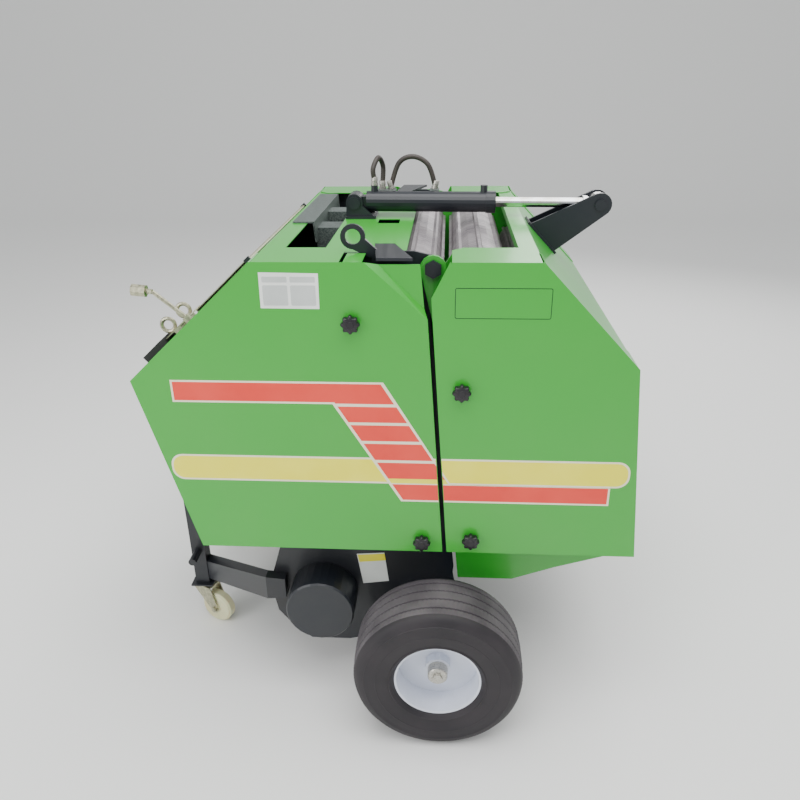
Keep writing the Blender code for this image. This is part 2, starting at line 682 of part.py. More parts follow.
# ---------------------------------------------------------------- hinge brackets of the gate
BRACKET = 0.008
EYE_RING = (-0.189, 1.2035)
EYE_RING_OUTER = 0.0265
EYE_RING_HOLE = 0.0165
BRACKET_INNER_Y = WALL_INNER - 0.048
BRACKET_OUTER_Y = COVER_Y - 0.010
BRACKET_TOP = [(-0.149, BRACKET_INNER_Y), (-0.105, BRACKET_INNER_Y),
               (-0.060, BRACKET_OUTER_Y), (-0.134, BRACKET_OUTER_Y)]
BRACKET_TOP_Z = TOP_Z + GAP
SHAFT_ROOM = 0.0015           # round the first roller's shaft
for word, side in SIDES.items():
    plate_y = span(side, WALL_OUTER + GAP, WALL_OUTER + GAP + BRACKET)
    plate = [(-0.150, 1.105), (-0.095, 1.090), (-0.052, 1.128)] + arc(HINGE, 0.024, 200, 450, 8) + [
        (-0.060, BRACKET_TOP_Z + 0.003), (-0.150, BRACKET_TOP_Z + 0.003)]
    top = prism([(x, side * y) for x, y in BRACKET_TOP], BRACKET_TOP_Z, BRACKET_TOP_Z + 0.006, "Z")
    hinge_pin = pin(HINGE, HINGE_PIN, *span(side, WALL_OUTER + BRACKET / 2, LUG_Y + LUG + 0.010))
    pin_head = pin(HINGE, HINGE_PIN + 0.007, *span(side, LUG_Y + LUG + 0.001, LUG_Y + LUG + 0.010),
                   sides=6)
    shapes = [prism(plate, *plate_y), top, hinge_pin, pin_head]
    cuts = [pin(FRONT_ROLLERS[0], ROLLER_SHAFT + SHAFT_ROOM, *span(side, WALL_INNER, COVER_Y))]
    if word == "left":
        stem = [(-0.196, 1.180), (-0.155, 1.160), (-0.130, 1.168), (-0.165, 1.200)]
        shapes += [pin(EYE_RING, EYE_RING_OUTER, *plate_y, sides=20), prism(stem, *plate_y)]
        cuts.append(pin(EYE_RING, EYE_RING_HOLE, *span(side, WALL_INNER, COVER_Y)))
    piece(f"hinge_bracket_{word}", BLACK, datum, shapes, cuts)

# ---------------------------------------------------------------- gate cylinder
foot = Vector((CYLINDER_FOOT[0], 0, CYLINDER_FOOT[1]))
eye = Vector((ROD_EYE[0], 0, ROD_EYE[1]))
line = (eye - foot).normalized()
FOOT_EYE_HALF = 0.020
BORE_FROM = 0.060
ROD_FROM = 0.260


def on_line(distance):
    """A point of the cylinder's centre line, measured from its foot pin."""
    return foot + line * distance


cheek_inner = FOOT_EYE_HALF + CHEEK_GAP
cheek_outer = cheek_inner + CHEEK
foot_bracket = arc(CYLINDER_FOOT, 0.022, -20, 200, 10) + [(-0.254, WALL_TOP_Z + GAP),
                                                           (-0.176, WALL_TOP_Z + GAP)]
shapes = [box((-0.254, -cheek_outer - 0.010, WALL_TOP_Z + GAP),
              (-0.176, cheek_outer + 0.010, WALL_TOP_Z + GAP + 0.006))]
for side in (-1, 1):
    shapes.append(prism(foot_bracket, *span(side, cheek_inner, cheek_outer)))
    shapes.append(pin(CYLINDER_FOOT, CYLINDER_PIN + 0.005, *span(side, cheek_outer - 0.001,
                                                                cheek_outer + 0.006), sides=12))
shapes.append(pin(CYLINDER_FOOT, CYLINDER_PIN, -cheek_outer, cheek_outer))
piece("cylinder_bracket", BLACK, datum, shapes)

port_1 = on_line(0.050)
port_2 = on_line(TUBE_LENGTH - 0.030)
up = Vector((-line.z, 0, line.x))
tube_shapes = [rod(on_line(0.030), on_line(TUBE_LENGTH - 0.022), TUBE_RADIUS, 20),
               rod(on_line(TUBE_LENGTH - 0.024), on_line(TUBE_LENGTH), TUBE_RADIUS + 0.002, 20),
               pin(CYLINDER_FOOT, EYE_RADIUS - 0.004, -FOOT_EYE_HALF, FOOT_EYE_HALF),
               box((CYLINDER_FOOT[0], -FOOT_EYE_HALF + 0.002, CYLINDER_FOOT[1] - 0.014),
                   (CYLINDER_FOOT[0] + 0.040, FOOT_EYE_HALF - 0.002, CYLINDER_FOOT[1] + 0.014)),
               rod(port_1, port_1 + up * (TUBE_RADIUS + 0.014), 0.009, 8),
               rod(port_2, port_2 + up * (TUBE_RADIUS + 0.016), 0.009, 8)]
piece("cylinder_tube", BLACK, cylinder, tube_shapes,
      [rod(on_line(BORE_FROM), on_line(TUBE_LENGTH + 0.010), ROD_RADIUS + RUNNING_GAP, 16),
       pin(CYLINDER_FOOT, CYLINDER_PIN + RUNNING_GAP, -0.05, 0.05)])

slide = pivot("rod_slide", tuple(on_line(TUBE_LENGTH)), cylinder)
eye_at = (eye - foot).length
ROD_EYE_HALF = 0.022
block = 0.030
rod_shapes = [rod(on_line(ROD_FROM), on_line(eye_at - 0.010), ROD_RADIUS, 16),
              rod(on_line(eye_at - block - 0.010), on_line(eye_at - block + 0.002), 0.019, 6),
              pin(ROD_EYE, EYE_RADIUS, -ROD_EYE_HALF, ROD_EYE_HALF, sides=20)]
piece("cylinder_rod", CHROME, slide, rod_shapes,
      [pin(ROD_EYE, CYLINDER_PIN + 0.001, -0.05, 0.05)])

# the arm that stands on the gate's slope and carries the rod's eye
slope_back = (Vector(EDGE_BACK[2]) - Vector(EDGE_BACK[1])).normalized()
slope_back_out = Vector((-slope_back.y, slope_back.x))


def on_back(along, out):
    """A point of the gate's upper slope: along it from its top corner, and out from it."""
    moved = Vector(EDGE_BACK[1]) + slope_back * along + slope_back_out * out
    return (moved.x, moved.y)


ARM_END = 0.029
arm_inner = ROD_EYE_HALF + CHEEK_GAP
arm_outer = arm_inner + CHEEK
arm_foot = (on_back(0.022, GAP), on_back(0.118, GAP))
cheek = [arm_foot[0], arm_foot[1]] + arc(ROD_EYE, ARM_END, -58, 112, 10)
web = folded([on_back(0.112, 0.004), on_back(0.112, 0.060), on_back(0.100, 0.094)], 0.006)
shapes = [prism([on_back(0.016, GAP), on_back(0.124, GAP), on_back(0.124, 0.006),
                 on_back(0.016, 0.006)], -arm_outer - 0.008, arm_outer + 0.008),
          prism(web, -arm_inner - CHEEK / 2, arm_inner + CHEEK / 2)]
for side in (-1, 1):
    shapes.append(prism(cheek, *span(side, arm_inner, arm_outer)))
    shapes.append(pin(ROD_EYE, CYLINDER_PIN + 0.003, *span(side, arm_outer - 0.001,
                                                          arm_outer + 0.005), sides=16))
piece("cylinder_arm", BLACK, gate, shapes)

# ---------------------------------------------------------------- axle and wheels
STUB_END = TYRE_MID_Y + 0.038
piece("axle", BLACK, datum,
      [box((-AXLE_BEAM / 2, -PANEL_HALF, TYRE_RADIUS - AXLE_BEAM / 2),
           (AXLE_BEAM / 2, PANEL_HALF, TYRE_RADIUS + AXLE_BEAM / 2)),
       pin((0, TYRE_RADIUS), AXLE_RADIUS, -STUB_END, STUB_END, sides=12)])

hub_bore = AXLE_RADIUS + RUNNING_GAP
inner_wall = RIM_RADIUS - RIM_WALL
RIM_PROFILE = [
    (hub_bore, -0.060), (hub_bore, 0.040), (0, 0.040), (0, 0.050), (0.0225, 0.050),
    (0.0235, 0.028), (HUB_RADIUS, 0.028), (HUB_RADIUS, 0.004), (inner_wall, 0.004),
    (inner_wall, RIM_HALF), (RIM_FLANGE - 0.004, RIM_HALF + 0.0040),
    (RIM_FLANGE, RIM_HALF + 0.0030), (RIM_FLANGE, RIM_HALF), (RIM_RADIUS, RIM_HALF),
    (RIM_RADIUS, -RIM_HALF), (RIM_FLANGE, -RIM_HALF), (RIM_FLANGE, -RIM_HALF - 0.0035),
    (inner_wall, -RIM_HALF - 0.0035), (inner_wall, 0.000), (HUB_RADIUS, 0.000),
    (HUB_RADIUS, -0.060)]
HALF_TYRE = [(RIM_RADIUS + GAP, RIM_HALF - GAP), (RIM_FLANGE + GAP, RIM_HALF - GAP),
             (RIM_FLANGE + 0.003, 0.0715), (0.138, 0.0805), (0.158, TYRE_WIDTH / 2),
             (0.176, 0.0790), (0.190, 0.0695), (0.1975, 0.0580), (0.2015, 0.0350),
             (TYRE_RADIUS, 0.0120)]
TYRE_PROFILE = HALF_TYRE + [(radius, -reach) for radius, reach in HALF_TYRE[::-1]]
WHEEL_STEPS = 32
for word, side in SIDES.items():
    hub = (0, side * TYRE_MID_Y, TYRE_RADIUS)
    wheel = pivot(f"wheel_axis_{word}", hub)
    piece(f"rim_{word}", WHITE, wheel, [turned(RIM_PROFILE, hub, WHEEL_STEPS, side)])
    piece(f"tyre_{word}", RUBBER, wheel, [turned(TYRE_PROFILE, hub, WHEEL_STEPS, side)])

# ---------------------------------------------------------------- pick-up
COMB = 0.014
comb = [(-TINES_A_BAR * TINE_SPACING / 2 - 0.020, TINE_BAR - COMB / 2),
        (TINES_A_BAR * TINE_SPACING / 2 + 0.020, TINE_BAR - COMB / 2),
        (TINES_A_BAR * TINE_SPACING / 2 + 0.020, TINE_BAR + COMB / 2)]
TINE_YS = [(number - (TINES_A_BAR - 1) / 2) * TINE_SPACING for number in range(TINES_A_BAR)]
TINE_HALF = 0.004
for y in TINE_YS[::-1]:
    comb += [(y + TINE_HALF, TINE_BAR + COMB / 2), (y + TINE_HALF, TINE_TIP),
             (y - TINE_HALF, TINE_TIP), (y - TINE_HALF, TINE_BAR + COMB / 2)]
comb.append((-TINES_A_BAR * TINE_SPACING / 2 - 0.020, TINE_BAR + COMB / 2))
DISC_Y = TINES_A_BAR * TINE_SPACING / 2 + 0.012


def tine_bar(degrees):
    """A bar of tines, cut as one comb, stood at its angle round the reel."""
    shape = prism([(y, radius) for y, radius in comb], -TINE_HALF, TINE_HALF, "X")
    turn = Matrix.Rotation(math.radians(-degrees), 4, "Y")
    bmesh.ops.transform(shape, matrix=Matrix.Translation((REEL_X, 0, REEL_Z)) @ turn,
                        verts=shape.verts)
    return shape


reel_shapes = [pin((REEL_X, REEL_Z), REEL_SHAFT, -WALL_OUTER - 0.010, WALL_OUTER + 0.010, sides=12)]
for y in (-DISC_Y, TINE_SPACING / 2, DISC_Y):
    reel_shapes.append(pin((REEL_X, REEL_Z), TINE_BAR + 0.010, y - 0.003, y + 0.003, sides=16))
for number in range(4):
    reel_shapes.append(tine_bar(20 + 90 * number))
piece("pickup_reel", STEEL, reel, reel_shapes)

BAND = 0.003
TAIL_X = -0.105
BAND_RAIL = 0.020
band_path = [(TAIL_X, 0.372)] + arc((REEL_X, REEL_Z), BAND_RADIUS, 65, 290, 18) + [(TAIL_X, 0.195)]
slots = [box((REEL_X - TINE_TIP, y - SLOT_WIDTH / 2, REEL_Z - TINE_TIP),
             (TAIL_X - BAND_RAIL, y + SLOT_WIDTH / 2, REEL_Z + TINE_TIP)) for y in TINE_YS]
piece("stripper_bands", STEEL, datum,
      [prism(folded(band_path, BAND), -PANEL_HALF, PANEL_HALF)], [several(slots)])

for word, side in SIDES.items():
    depth = COVER_Y - WALL_OUTER
    pot = [(PICKUP_COVER - SHEET, GAP), (PICKUP_COVER - SHEET, depth - SHEET), (0, depth - SHEET),
           (0, depth), (PICKUP_COVER - 0.004, depth), (PICKUP_COVER, depth - 0.004),
           (PICKUP_COVER, GAP)]
    piece(f"pickup_cover_{word}", BLACK, datum,
          [turned(pot, (REEL_X, side * WALL_OUTER, REEL_Z), 28, side)])

# ---------------------------------------------------------------- hitch frame
cross_low = (CROSS_BEAM_X - CROSS_BEAM / 2, CROSS_BEAM_Z - CROSS_BEAM / 2)
cross_high = (CROSS_BEAM_X + CROSS_BEAM / 2, CROSS_BEAM_Z + CROSS_BEAM / 2)
MAST_Y = 0.030
MAST_TOP = (-0.700, 0.780)
MAST_HOLE = 0.0095
frame_shapes = [box((cross_low[0], -PANEL_HALF, cross_low[1]),
                    (cross_high[0], PANEL_HALF, cross_high[1]))]
for side in (-1, 1):
    y = side * POST_Y
    frame_shapes.append(box((POST_X - POST / 2, y - POST / 2, POST_FOOT_Z),
                            (POST_X + POST / 2, y + POST / 2, POST_TOP_Z)))
    frame_shapes.append(box((POST_X, y - POST / 2 + 0.003, cross_low[1] + 0.008),
                            (CROSS_BEAM_X, y + POST / 2 - 0.003, cross_high[1] - 0.008)))
    frame_shapes.append(box((POST_X - 0.032, y - 0.032, POST_FOOT_Z - 0.004),
                            (POST_X + 0.032, y + 0.032, POST_FOOT_Z + 0.001)))
    frame_shapes.append(pin((POST_X, LINK_PIN_Z), LINK_PIN, *span(side, POST_Y, POST_Y + 0.075),
                            sides=12))
    mast = [(POST_X - 0.018, POST_TOP_Z - 0.030), (POST_X + 0.018, POST_TOP_Z - 0.030),
            (POST_X + 0.018, POST_TOP_Z + 0.060)] + arc(MAST_TOP, 0.022, 0, 180, 8)
    frame_shapes.append(prism(mast, *span(side, MAST_Y, MAST_Y + CHEEK)))
frame_shapes.append(box((POST_X - POST / 2 + 0.003, -POST_Y, POST_TOP_Z - POST + 0.003),
                        (POST_X + POST / 2 - 0.003, POST_Y, POST_TOP_Z - 0.003)))
KINGPIN = 0.006
kingpin_holes = [pin((POST_X, side * POST_Y), KINGPIN + RUNNING_GAP, POST_FOOT_Z - 0.010,
                     POST_FOOT_Z + 0.020, "Z", 10) for side in (-1, 1)]
mast_holes = pin(MAST_TOP, MAST_HOLE, -0.05, 0.05)
piece("hitch_frame", BLACK, datum, frame_shapes, [several(kingpin_holes), mast_holes])

# the two side beams run from the posts out to the pick-up's side plates
SIDE_BEAM_FRONT = (POST_X + POST / 2 + GAP, 0.150, 0.212)
SIDE_BEAM_REAR = (-0.4480, 0.262, 0.330)
for word, side in SIDES.items():
    front_x, front_low, front_high = SIDE_BEAM_FRONT
    rear_x, rear_low, rear_high = SIDE_BEAM_REAR
    inner_y, outer_y = POST_Y - 0.018, POST_Y + 0.018
    far_y = WALL_OUTER + GAP
    shape = bmesh.new()
    rings = []
    for x, near, far, low, high in ((front_x, inner_y, outer_y, front_low, front_high),
                                    (rear_x, far_y, far_y + 0.030, rear_low, rear_high),
                                    (rear_x + 0.050, far_y, far_y + 0.030, rear_low + 0.004,
                                     rear_high - 0.004)):
        rings.append([shape.verts.new((x, side * y, z)) for y, z in
                      ((near, low), (far, low), (far, high), (near, high))])
    shape.faces.new(rings[0])
    shape.faces.new(rings[-1])
    for before, after in zip(rings, rings[1:]):
        for corner in range(4):
            following = (corner + 1) % 4
            shape.faces.new((before[corner], before[following], after[following], after[corner]))
    bmesh.ops.recalc_face_normals(shape, faces=shape.faces)
    piece(f"side_beam_{word}", BLACK, datum, [shape])

# ---------------------------------------------------------------- gearbox and input shaft
GEAR_X = (-0.655, -0.520)
GEAR_HALF = 0.075
GEAR_Z = (CROSS_BEAM_Z + CROSS_BEAM / 2 + GAP, 0.592)
CROSS_SHAFT = 0.022
cross_x = (GEAR_X[0] + GEAR_X[1]) / 2 + 0.010
shaft_end = GEAR_X[0] - 0.020
piece("gearbox", BLACK, datum,
      [box((GEAR_X[0], -GEAR_HALF, GEAR_Z[0]), (GEAR_X[1], GEAR_HALF, GEAR_Z[1])),
       prism(circle((0, PTO_Z), 0.038, 16), shaft_end, GEAR_X[0] + 0.002, "X"),
       pin((cross_x, PTO_Z + 0.015), CROSS_SHAFT, 0, PANEL_HALF)],
      [prism(circle((0, PTO_Z), turning_hole(PTO_RADIUS), HOLE_SIDES), shaft_end - 0.01, GEAR_X[0] + 0.030,
             "X")])
pto = pivot("pto_axis", (PTO_FRONT_X, 0, PTO_Z))
piece("pto_input_shaft", STEEL, pto,
      [prism(circle((0, PTO_Z), PTO_RADIUS, 12), PTO_FRONT_X, GEAR_X[0] + 0.028, "X"),
       prism(circle((0, PTO_Z), PTO_RADIUS + 0.006, 12), shaft_end - 0.014, shaft_end - 0.006, "X")])

# ---------------------------------------------------------------- parking casters
SWIVEL_TOP = POST_FOOT_Z - 0.004 - 0.0015
FORK_PLATE = 0.004
FORK_CHEEK = 0.003
cheek_at = CASTER_WIDTH / 2 + 0.0055
for word, side in SIDES.items():
    top_at = (POST_X, side * POST_Y, SWIVEL_TOP)
    swivel = pivot(f"caster_swivel_{word}", top_at, datum, side * CASTER_TURN_DEG)
    axle_at = (POST_X + CASTER_TRAIL, CASTER_RADIUS)
    fork_top = SWIVEL_TOP - 0.006
    mid_y = side * POST_Y
    shapes = [prism(circle((POST_X, mid_y), 0.026, 16), fork_top - 0.001, SWIVEL_TOP, "Z"),
              prism(circle((POST_X, mid_y), KINGPIN, 10), SWIVEL_TOP - 0.002, SWIVEL_TOP + 0.018, "Z"),
              box((POST_X - 0.028, mid_y - cheek_at - FORK_CHEEK, fork_top - FORK_PLATE),
                  (POST_X + 0.032, mid_y + cheek_at + FORK_CHEEK, fork_top)),
              pin(axle_at, 0.005, mid_y - cheek_at - 0.009, mid_y + cheek_at + 0.009, sides=8)]
    for hand in (-1, 1):
        low_y, high_y = sorted((mid_y + hand * cheek_at, mid_y + hand * (cheek_at + FORK_CHEEK)))
        outline = [(POST_X - 0.028, fork_top), (POST_X + 0.032, fork_top)]
        outline = arc(axle_at, 0.013, -120, 30, 5) + [(POST_X + 0.032, fork_top),
                                                    (POST_X - 0.028, fork_top)]
        shapes.append(prism(outline, low_y, high_y))
        shapes.append(pin(axle_at, 0.009, *sorted((mid_y + hand * (cheek_at + FORK_CHEEK - 0.001),
                                                   mid_y + hand * (cheek_at + 0.008))), sides=6))
    piece(f"caster_fork_{word}", GREY, swivel, shapes)
    roll = pivot(f"caster_axis_{word}", (axle_at[0], mid_y, axle_at[1]), swivel)
    tread = CASTER_WIDTH / 2
    wheel_profile = [(0.005 + RUNNING_GAP, -tread - 0.004), (0.012, -tread - 0.004), (0.014, -tread),
                     (0.044, -tread), (CASTER_RADIUS, -tread + 0.005),
                     (CASTER_RADIUS, tread - 0.005), (0.044, tread), (0.014, tread),
                     (0.012, tread + 0.004), (0.005 + RUNNING_GAP, tread + 0.004)]
    piece(f"caster_wheel_{word}", CREAM, roll,
          [turned(wheel_profile, (axle_at[0], mid_y, axle_at[1]), 24)])

# ---------------------------------------------------------------- hoses on the cylinder
HOSE_RADIUS = 0.0065
HOSE_SIDES = 10
HOSE_TOP_Z = 1.312


def smooth_route(points, spacing):
    """Points at an even spacing on a smooth curve through the route's own points."""
    path = [Vector(point) for point in points]
    path = [path[0] * 2 - path[1]] + path + [path[-1] * 2 - path[-2]]
    fine = []
    for index in range(1, len(path) - 2):
        p0, p1, p2, p3 = path[index - 1:index + 3]
        for step in range(20):
            t = step / 20
            fine.append(0.5 * (2 * p1 + (p2 - p0) * t + (2 * p0 - 5 * p1 + 4 * p2 - p3) * t ** 2
                               + (3 * p1 - p0 - 3 * p2 + p3) * t ** 3))
    fine.append(path[-2])
    route = [fine[0]]
    travelled = 0.0
    for before, after in zip(fine, fine[1:]):
        travelled += (after - before).length
        if travelled >= spacing:
            route.append(after)
            travelled = 0.0
    route.append(fine[-1])
    return route


def hose(name, points):
    """A hose held at both ends: a closed round tube swept along its route."""
    route = smooth_route(points, 0.012)
    shape = bmesh.new()
    rings = []
    across = Vector((0, 1, 0))
    for index, place in enumerate(route):
        ahead = route[min(index + 1, len(route) - 1)] - route[max(index - 1, 0)]
        if index == 0:
            ahead = Vector(points[1]) - Vector(points[0])
        if index == len(route) - 1:
            ahead = Vector(points[-1]) - Vector(points[-2])
        ahead.normalize()
        across = (across - ahead * across.dot(ahead)).normalized()
        beyond = ahead.cross(across)
        turns = [math.tau * step / HOSE_SIDES for step in range(HOSE_SIDES)]
        rings.append([shape.verts.new(place + HOSE_RADIUS * (across * math.cos(turn)
                                                             + beyond * math.sin(turn)))
                      for turn in turns])
    shape.faces.new(rings[0])
    shape.faces.new(rings[-1][::-1])
    for before, after in zip(rings, rings[1:]):
        for side in range(HOSE_SIDES):
            following = (side + 1) % HOSE_SIDES
            shape.faces.new((before[side], before[following], after[following], after[side]))
    bmesh.ops.recalc_face_normals(shape, faces=shape.faces)
    piece(name, HOSE, cylinder, [shape])


PORT_Y = 0.042               # a steel pipe and its blocks run along the tube's right-hand side
BLOCK_HALF = 0.012
port_top = port_1 + up * (TUBE_RADIUS + 0.014 + GAP)
elbow = on_line(0.205) + Vector((0, PORT_Y, TUBE_RADIUS))
loop_end = Vector((foot.x + 0.068, PORT_Y, elbow.z))
arch_start = Vector((foot.x + 0.092, PORT_Y, elbow.z))
block_z = (elbow.z - 2 * BLOCK_HALF, elbow.z)
pipe_z = elbow.z - BLOCK_HALF
piece("port_block", GREY, cylinder,
      [box((loop_end.x - BLOCK_HALF, TUBE_RADIUS / 2, block_z[0]),
           (arch_start.x + BLOCK_HALF, PORT_Y + BLOCK_HALF, block_z[1])),
       box((elbow.x - BLOCK_HALF, TUBE_RADIUS / 2, block_z[0]),
           (elbow.x + BLOCK_HALF, PORT_Y + BLOCK_HALF, block_z[1])),
       rod((loop_end.x, PORT_Y, pipe_z), (port_2.x, PORT_Y, pipe_z), 0.005)],
      [rod(on_line(0.02), on_line(TUBE_LENGTH - 0.024), TUBE_RADIUS + GAP, 20)])
lift = Vector((0, 0, GAP))
rise = Vector((0, 0, 0.012))
arch_mid = (arch_start + elbow) / 2
HOSE_ARCH = [arch_start + lift, arch_start + lift + rise, arch_mid + Vector((-0.036, 0, 0.066)),
             arch_mid + Vector((0, 0, HOSE_TOP_Z - elbow.z)),
             arch_mid + Vector((0.038, 0, 0.062)), elbow + lift + rise, elbow + lift]
HOSE_LOOP = [port_top, port_top + up * 0.012, (port_top.x - 0.002, -0.002, HOSE_TOP_Z - 0.024),
             (port_top.x + 0.010, PORT_Y / 2, HOSE_TOP_Z),
             (loop_end.x + 0.002, PORT_Y + 0.002, HOSE_TOP_Z - 0.024),
             loop_end + lift + rise, loop_end + lift]
hose("hose_loop", HOSE_LOOP)
hose("hose_arch", HOSE_ARCH)
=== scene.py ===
# %% [markdown]
# # A small round baler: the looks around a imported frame
# A round baler picks up a swath of hay, rolls it between steel drums into a drum-shaped bale, and
# drops the bale out of its rear gate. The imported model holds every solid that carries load. This
# lesson loads it, gives each solid its real finish, and adds what a drawing office would call
# trim: tyre tread, bands of colour, blank plates, star knobs, and hoses with their fittings.

import math

import bmesh
import bpy
import numpy as np
from mathutils import Matrix, Vector


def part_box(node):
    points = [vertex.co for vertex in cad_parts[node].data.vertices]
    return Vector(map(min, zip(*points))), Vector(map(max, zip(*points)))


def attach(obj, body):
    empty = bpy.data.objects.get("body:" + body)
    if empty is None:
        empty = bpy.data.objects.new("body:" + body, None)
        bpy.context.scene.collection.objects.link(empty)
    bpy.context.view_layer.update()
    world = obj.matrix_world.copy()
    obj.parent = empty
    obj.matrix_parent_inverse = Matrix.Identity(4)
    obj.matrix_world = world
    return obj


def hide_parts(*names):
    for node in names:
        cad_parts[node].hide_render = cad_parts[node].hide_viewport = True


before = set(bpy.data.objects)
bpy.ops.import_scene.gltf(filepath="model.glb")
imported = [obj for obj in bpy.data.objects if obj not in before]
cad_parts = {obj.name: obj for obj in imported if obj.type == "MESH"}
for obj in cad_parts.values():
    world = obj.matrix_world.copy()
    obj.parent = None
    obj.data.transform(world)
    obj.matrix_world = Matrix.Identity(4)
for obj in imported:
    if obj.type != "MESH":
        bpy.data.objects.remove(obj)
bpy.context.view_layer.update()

# %% [markdown]
# ## Camera
# A camera can be pointed with a Track To constraint or with Euler angles. Here it is turned by
# three plain angles, yaw, pitch and roll, and its matrix is put together from the three axes
# they give, because that shows what each angle does: yaw swings it, pitch tips it down, and roll
# tilts the horizon by less than a degree.

# %% Place the camera
YAW, PITCH, ROLL = (math.radians(angle) for angle in (3.95, 24.72, -0.83))
ahead = Vector((-math.sin(YAW) * math.cos(PITCH), math.cos(YAW) * math.cos(PITCH),
                -math.sin(PITCH)))
level = Vector((math.cos(YAW), math.sin(YAW), 0))
above = level.cross(ahead)
right = level * math.cos(ROLL) + above * math.sin(ROLL)
upward = above * math.cos(ROLL) - level * math.sin(ROLL)
camera_data = bpy.data.cameras.new("camera")
camera_data.lens = 32.8
camera_data.sensor_width = 36
camera = bpy.data.objects.new("camera", camera_data)
bpy.context.scene.collection.objects.link(camera)
turned = Matrix((right, upward, -ahead)).transposed().to_4x4()
camera.matrix_world = Matrix.Translation((0.164, -1.933, 1.529)) @ turned
bpy.context.scene.camera = camera
print("camera looks along", tuple(round(value, 3) for value in ahead))

# %% [markdown]
# ## Floor and light
# A product studio is a pale floor that fades into a pale backdrop, one large soft lamp above,
# and weaker ones to fill the shade. Area lamps are used and not points, because the size of a
# lamp sets how soft its shadow is: the large one here is wider than the machine.

# %% Build the studio
def colour(code):
    """A linear RGBA colour from an sRGB hex code."""
    values = np.array([int(code[i:i + 2], 16) for i in (1, 3, 5)]) / 255
    linear = np.where(values <= 0.04045, values / 12.92, ((values + 0.055) / 1.055) ** 2.4)
    return (*linear.tolist(), 1.0)


def lamp(name, place, target, size, power, tint="#FFFFFF"):
    """A square soft lamp at a place, aimed at a target."""
    data = bpy.data.lights.new(name, "AREA")
    data.size, data.energy, data.color = size, power, colour(tint)[:3]
    made = bpy.data.objects.new(name, data)
    made.location = place
    made.rotation_euler = (Vector(target) - Vector(place)).to_track_quat("-Z", "Y").to_euler()
    bpy.context.scene.collection.objects.link(made)
    return made


world = bpy.data.worlds.new("studio")
world.use_nodes = True
world.node_tree.nodes["Background"].inputs["Color"].default_value = colour("#F4F6F8")
world.node_tree.nodes["Background"].inputs["Strength"].default_value = 0.75
bpy.context.scene.world = world
lamp("top_lamp", (0.3, -0.9, 3.6), (0, 0, 0.6), 3.2, 150)
lamp("side_lamp", (-2.6, -2.6, 2.0), (0, 0, 0.6), 2.0, 55)
lamp("back_lamp", (1.6, 3.0, 2.6), (0, 0, 0.8), 2.4, 60)

FLOOR_HALF, COVE_RADIUS = 6.0, 2.0
turns = np.linspace(0, np.pi / 2, 13)
cove_y = np.concatenate([[-FLOOR_HALF], FLOOR_HALF + COVE_RADIUS * np.sin(turns), ])
cove_z = np.concatenate([[0], COVE_RADIUS * (1 - np.cos(turns))])
cove_y = np.append(cove_y, cove_y[-1])
cove_z = np.append(cove_z, 6.0)
print("backdrop profile has", len(cove_y), "points")

# %% [markdown]
# ## Surfaces from whole arrays
# Every new piece below is a grid of points: one direction runs along a profile, the other round
# an axis or along a path. Blender has primitives for some of these, but a grid takes any profile,
# and numpy computes all its points at once. Two small functions turn grids into meshes.

# %% Mesh helpers
def to_object(name, points, faces, finish, smooth_deg=35):
    """An object at the origin from points (n, 3) and faces (m, 4); finish is its material."""
    mesh = bpy.data.meshes.new(name)
    mesh.from_pydata(np.asarray(points, float).tolist(), [], [list(face) for face in faces])
    work = bmesh.new()
    work.from_mesh(mesh)
    bmesh.ops.remove_doubles(work, verts=work.verts, dist=1e-6)
    bmesh.ops.dissolve_degenerate(work, edges=work.edges, dist=1e-7)
    bmesh.ops.recalc_face_normals(work, faces=work.faces)
    work.to_mesh(mesh)
    work.free()
    if smooth_deg:
        mesh.shade_smooth()
        mesh.set_sharp_from_angle(angle=math.radians(smooth_deg))
    made = bpy.data.objects.new(name, mesh)
    made.data.materials.append(finish)
    bpy.context.scene.collection.objects.link(made)
    return made


def grid_faces(rows, columns, wrap_rows=False, wrap_columns=False, start=0):
    """Quads that join neighbouring points of a rows x columns grid, round the ends if wrapped."""
    r = np.arange(rows if wrap_rows else rows - 1)
    c = np.arange(columns if wrap_columns else columns - 1)
    row, column = np.meshgrid(r, c, indexing="ij")
    next_row, next_column = (row + 1) % rows, (column + 1) % columns
    corners = [row * columns + column, row * columns + next_column,
               next_row * columns + next_column, next_row * columns + column]
    return np.stack(corners, -1).reshape(-1, 4) + start


def joined(parts):
    """Points and faces of several (points, faces) pairs in one, with the faces renumbered."""
    starts = np.cumsum([0] + [len(points) for points, faces in parts[:-1]])
    points = np.concatenate([np.asarray(points, float) for points, faces in parts])
    faces = [tuple(int(i) + int(start) for i in face)
             for (_, part), start in zip(parts, starts) for face in part]
    return points, faces


def turned_grid(profile, centre, steps=64, wave=None):
    """A profile of (radius, along) turned round the Y axis: x = r cos t, y = along, z = r sin t.
    wave(radius, along, t) may move the radius as a function of the turn."""
    profile = np.asarray(profile, float)
    t = np.linspace(0, 2 * np.pi, steps, endpoint=False)
    radius, along, turn = profile[:, 0, None], profile[:, 1, None], t[None, :]
    radius = np.broadcast_to(radius, (len(profile), steps))
    if wave is not None:
        radius = radius + wave(radius, along, turn)
    points = np.stack([radius * np.cos(turn), np.broadcast_to(along, radius.shape),
                       radius * np.sin(turn)], -1) + np.asarray(centre)
    return points.reshape(-1, 3), grid_faces(len(profile), steps, wrap_columns=True)


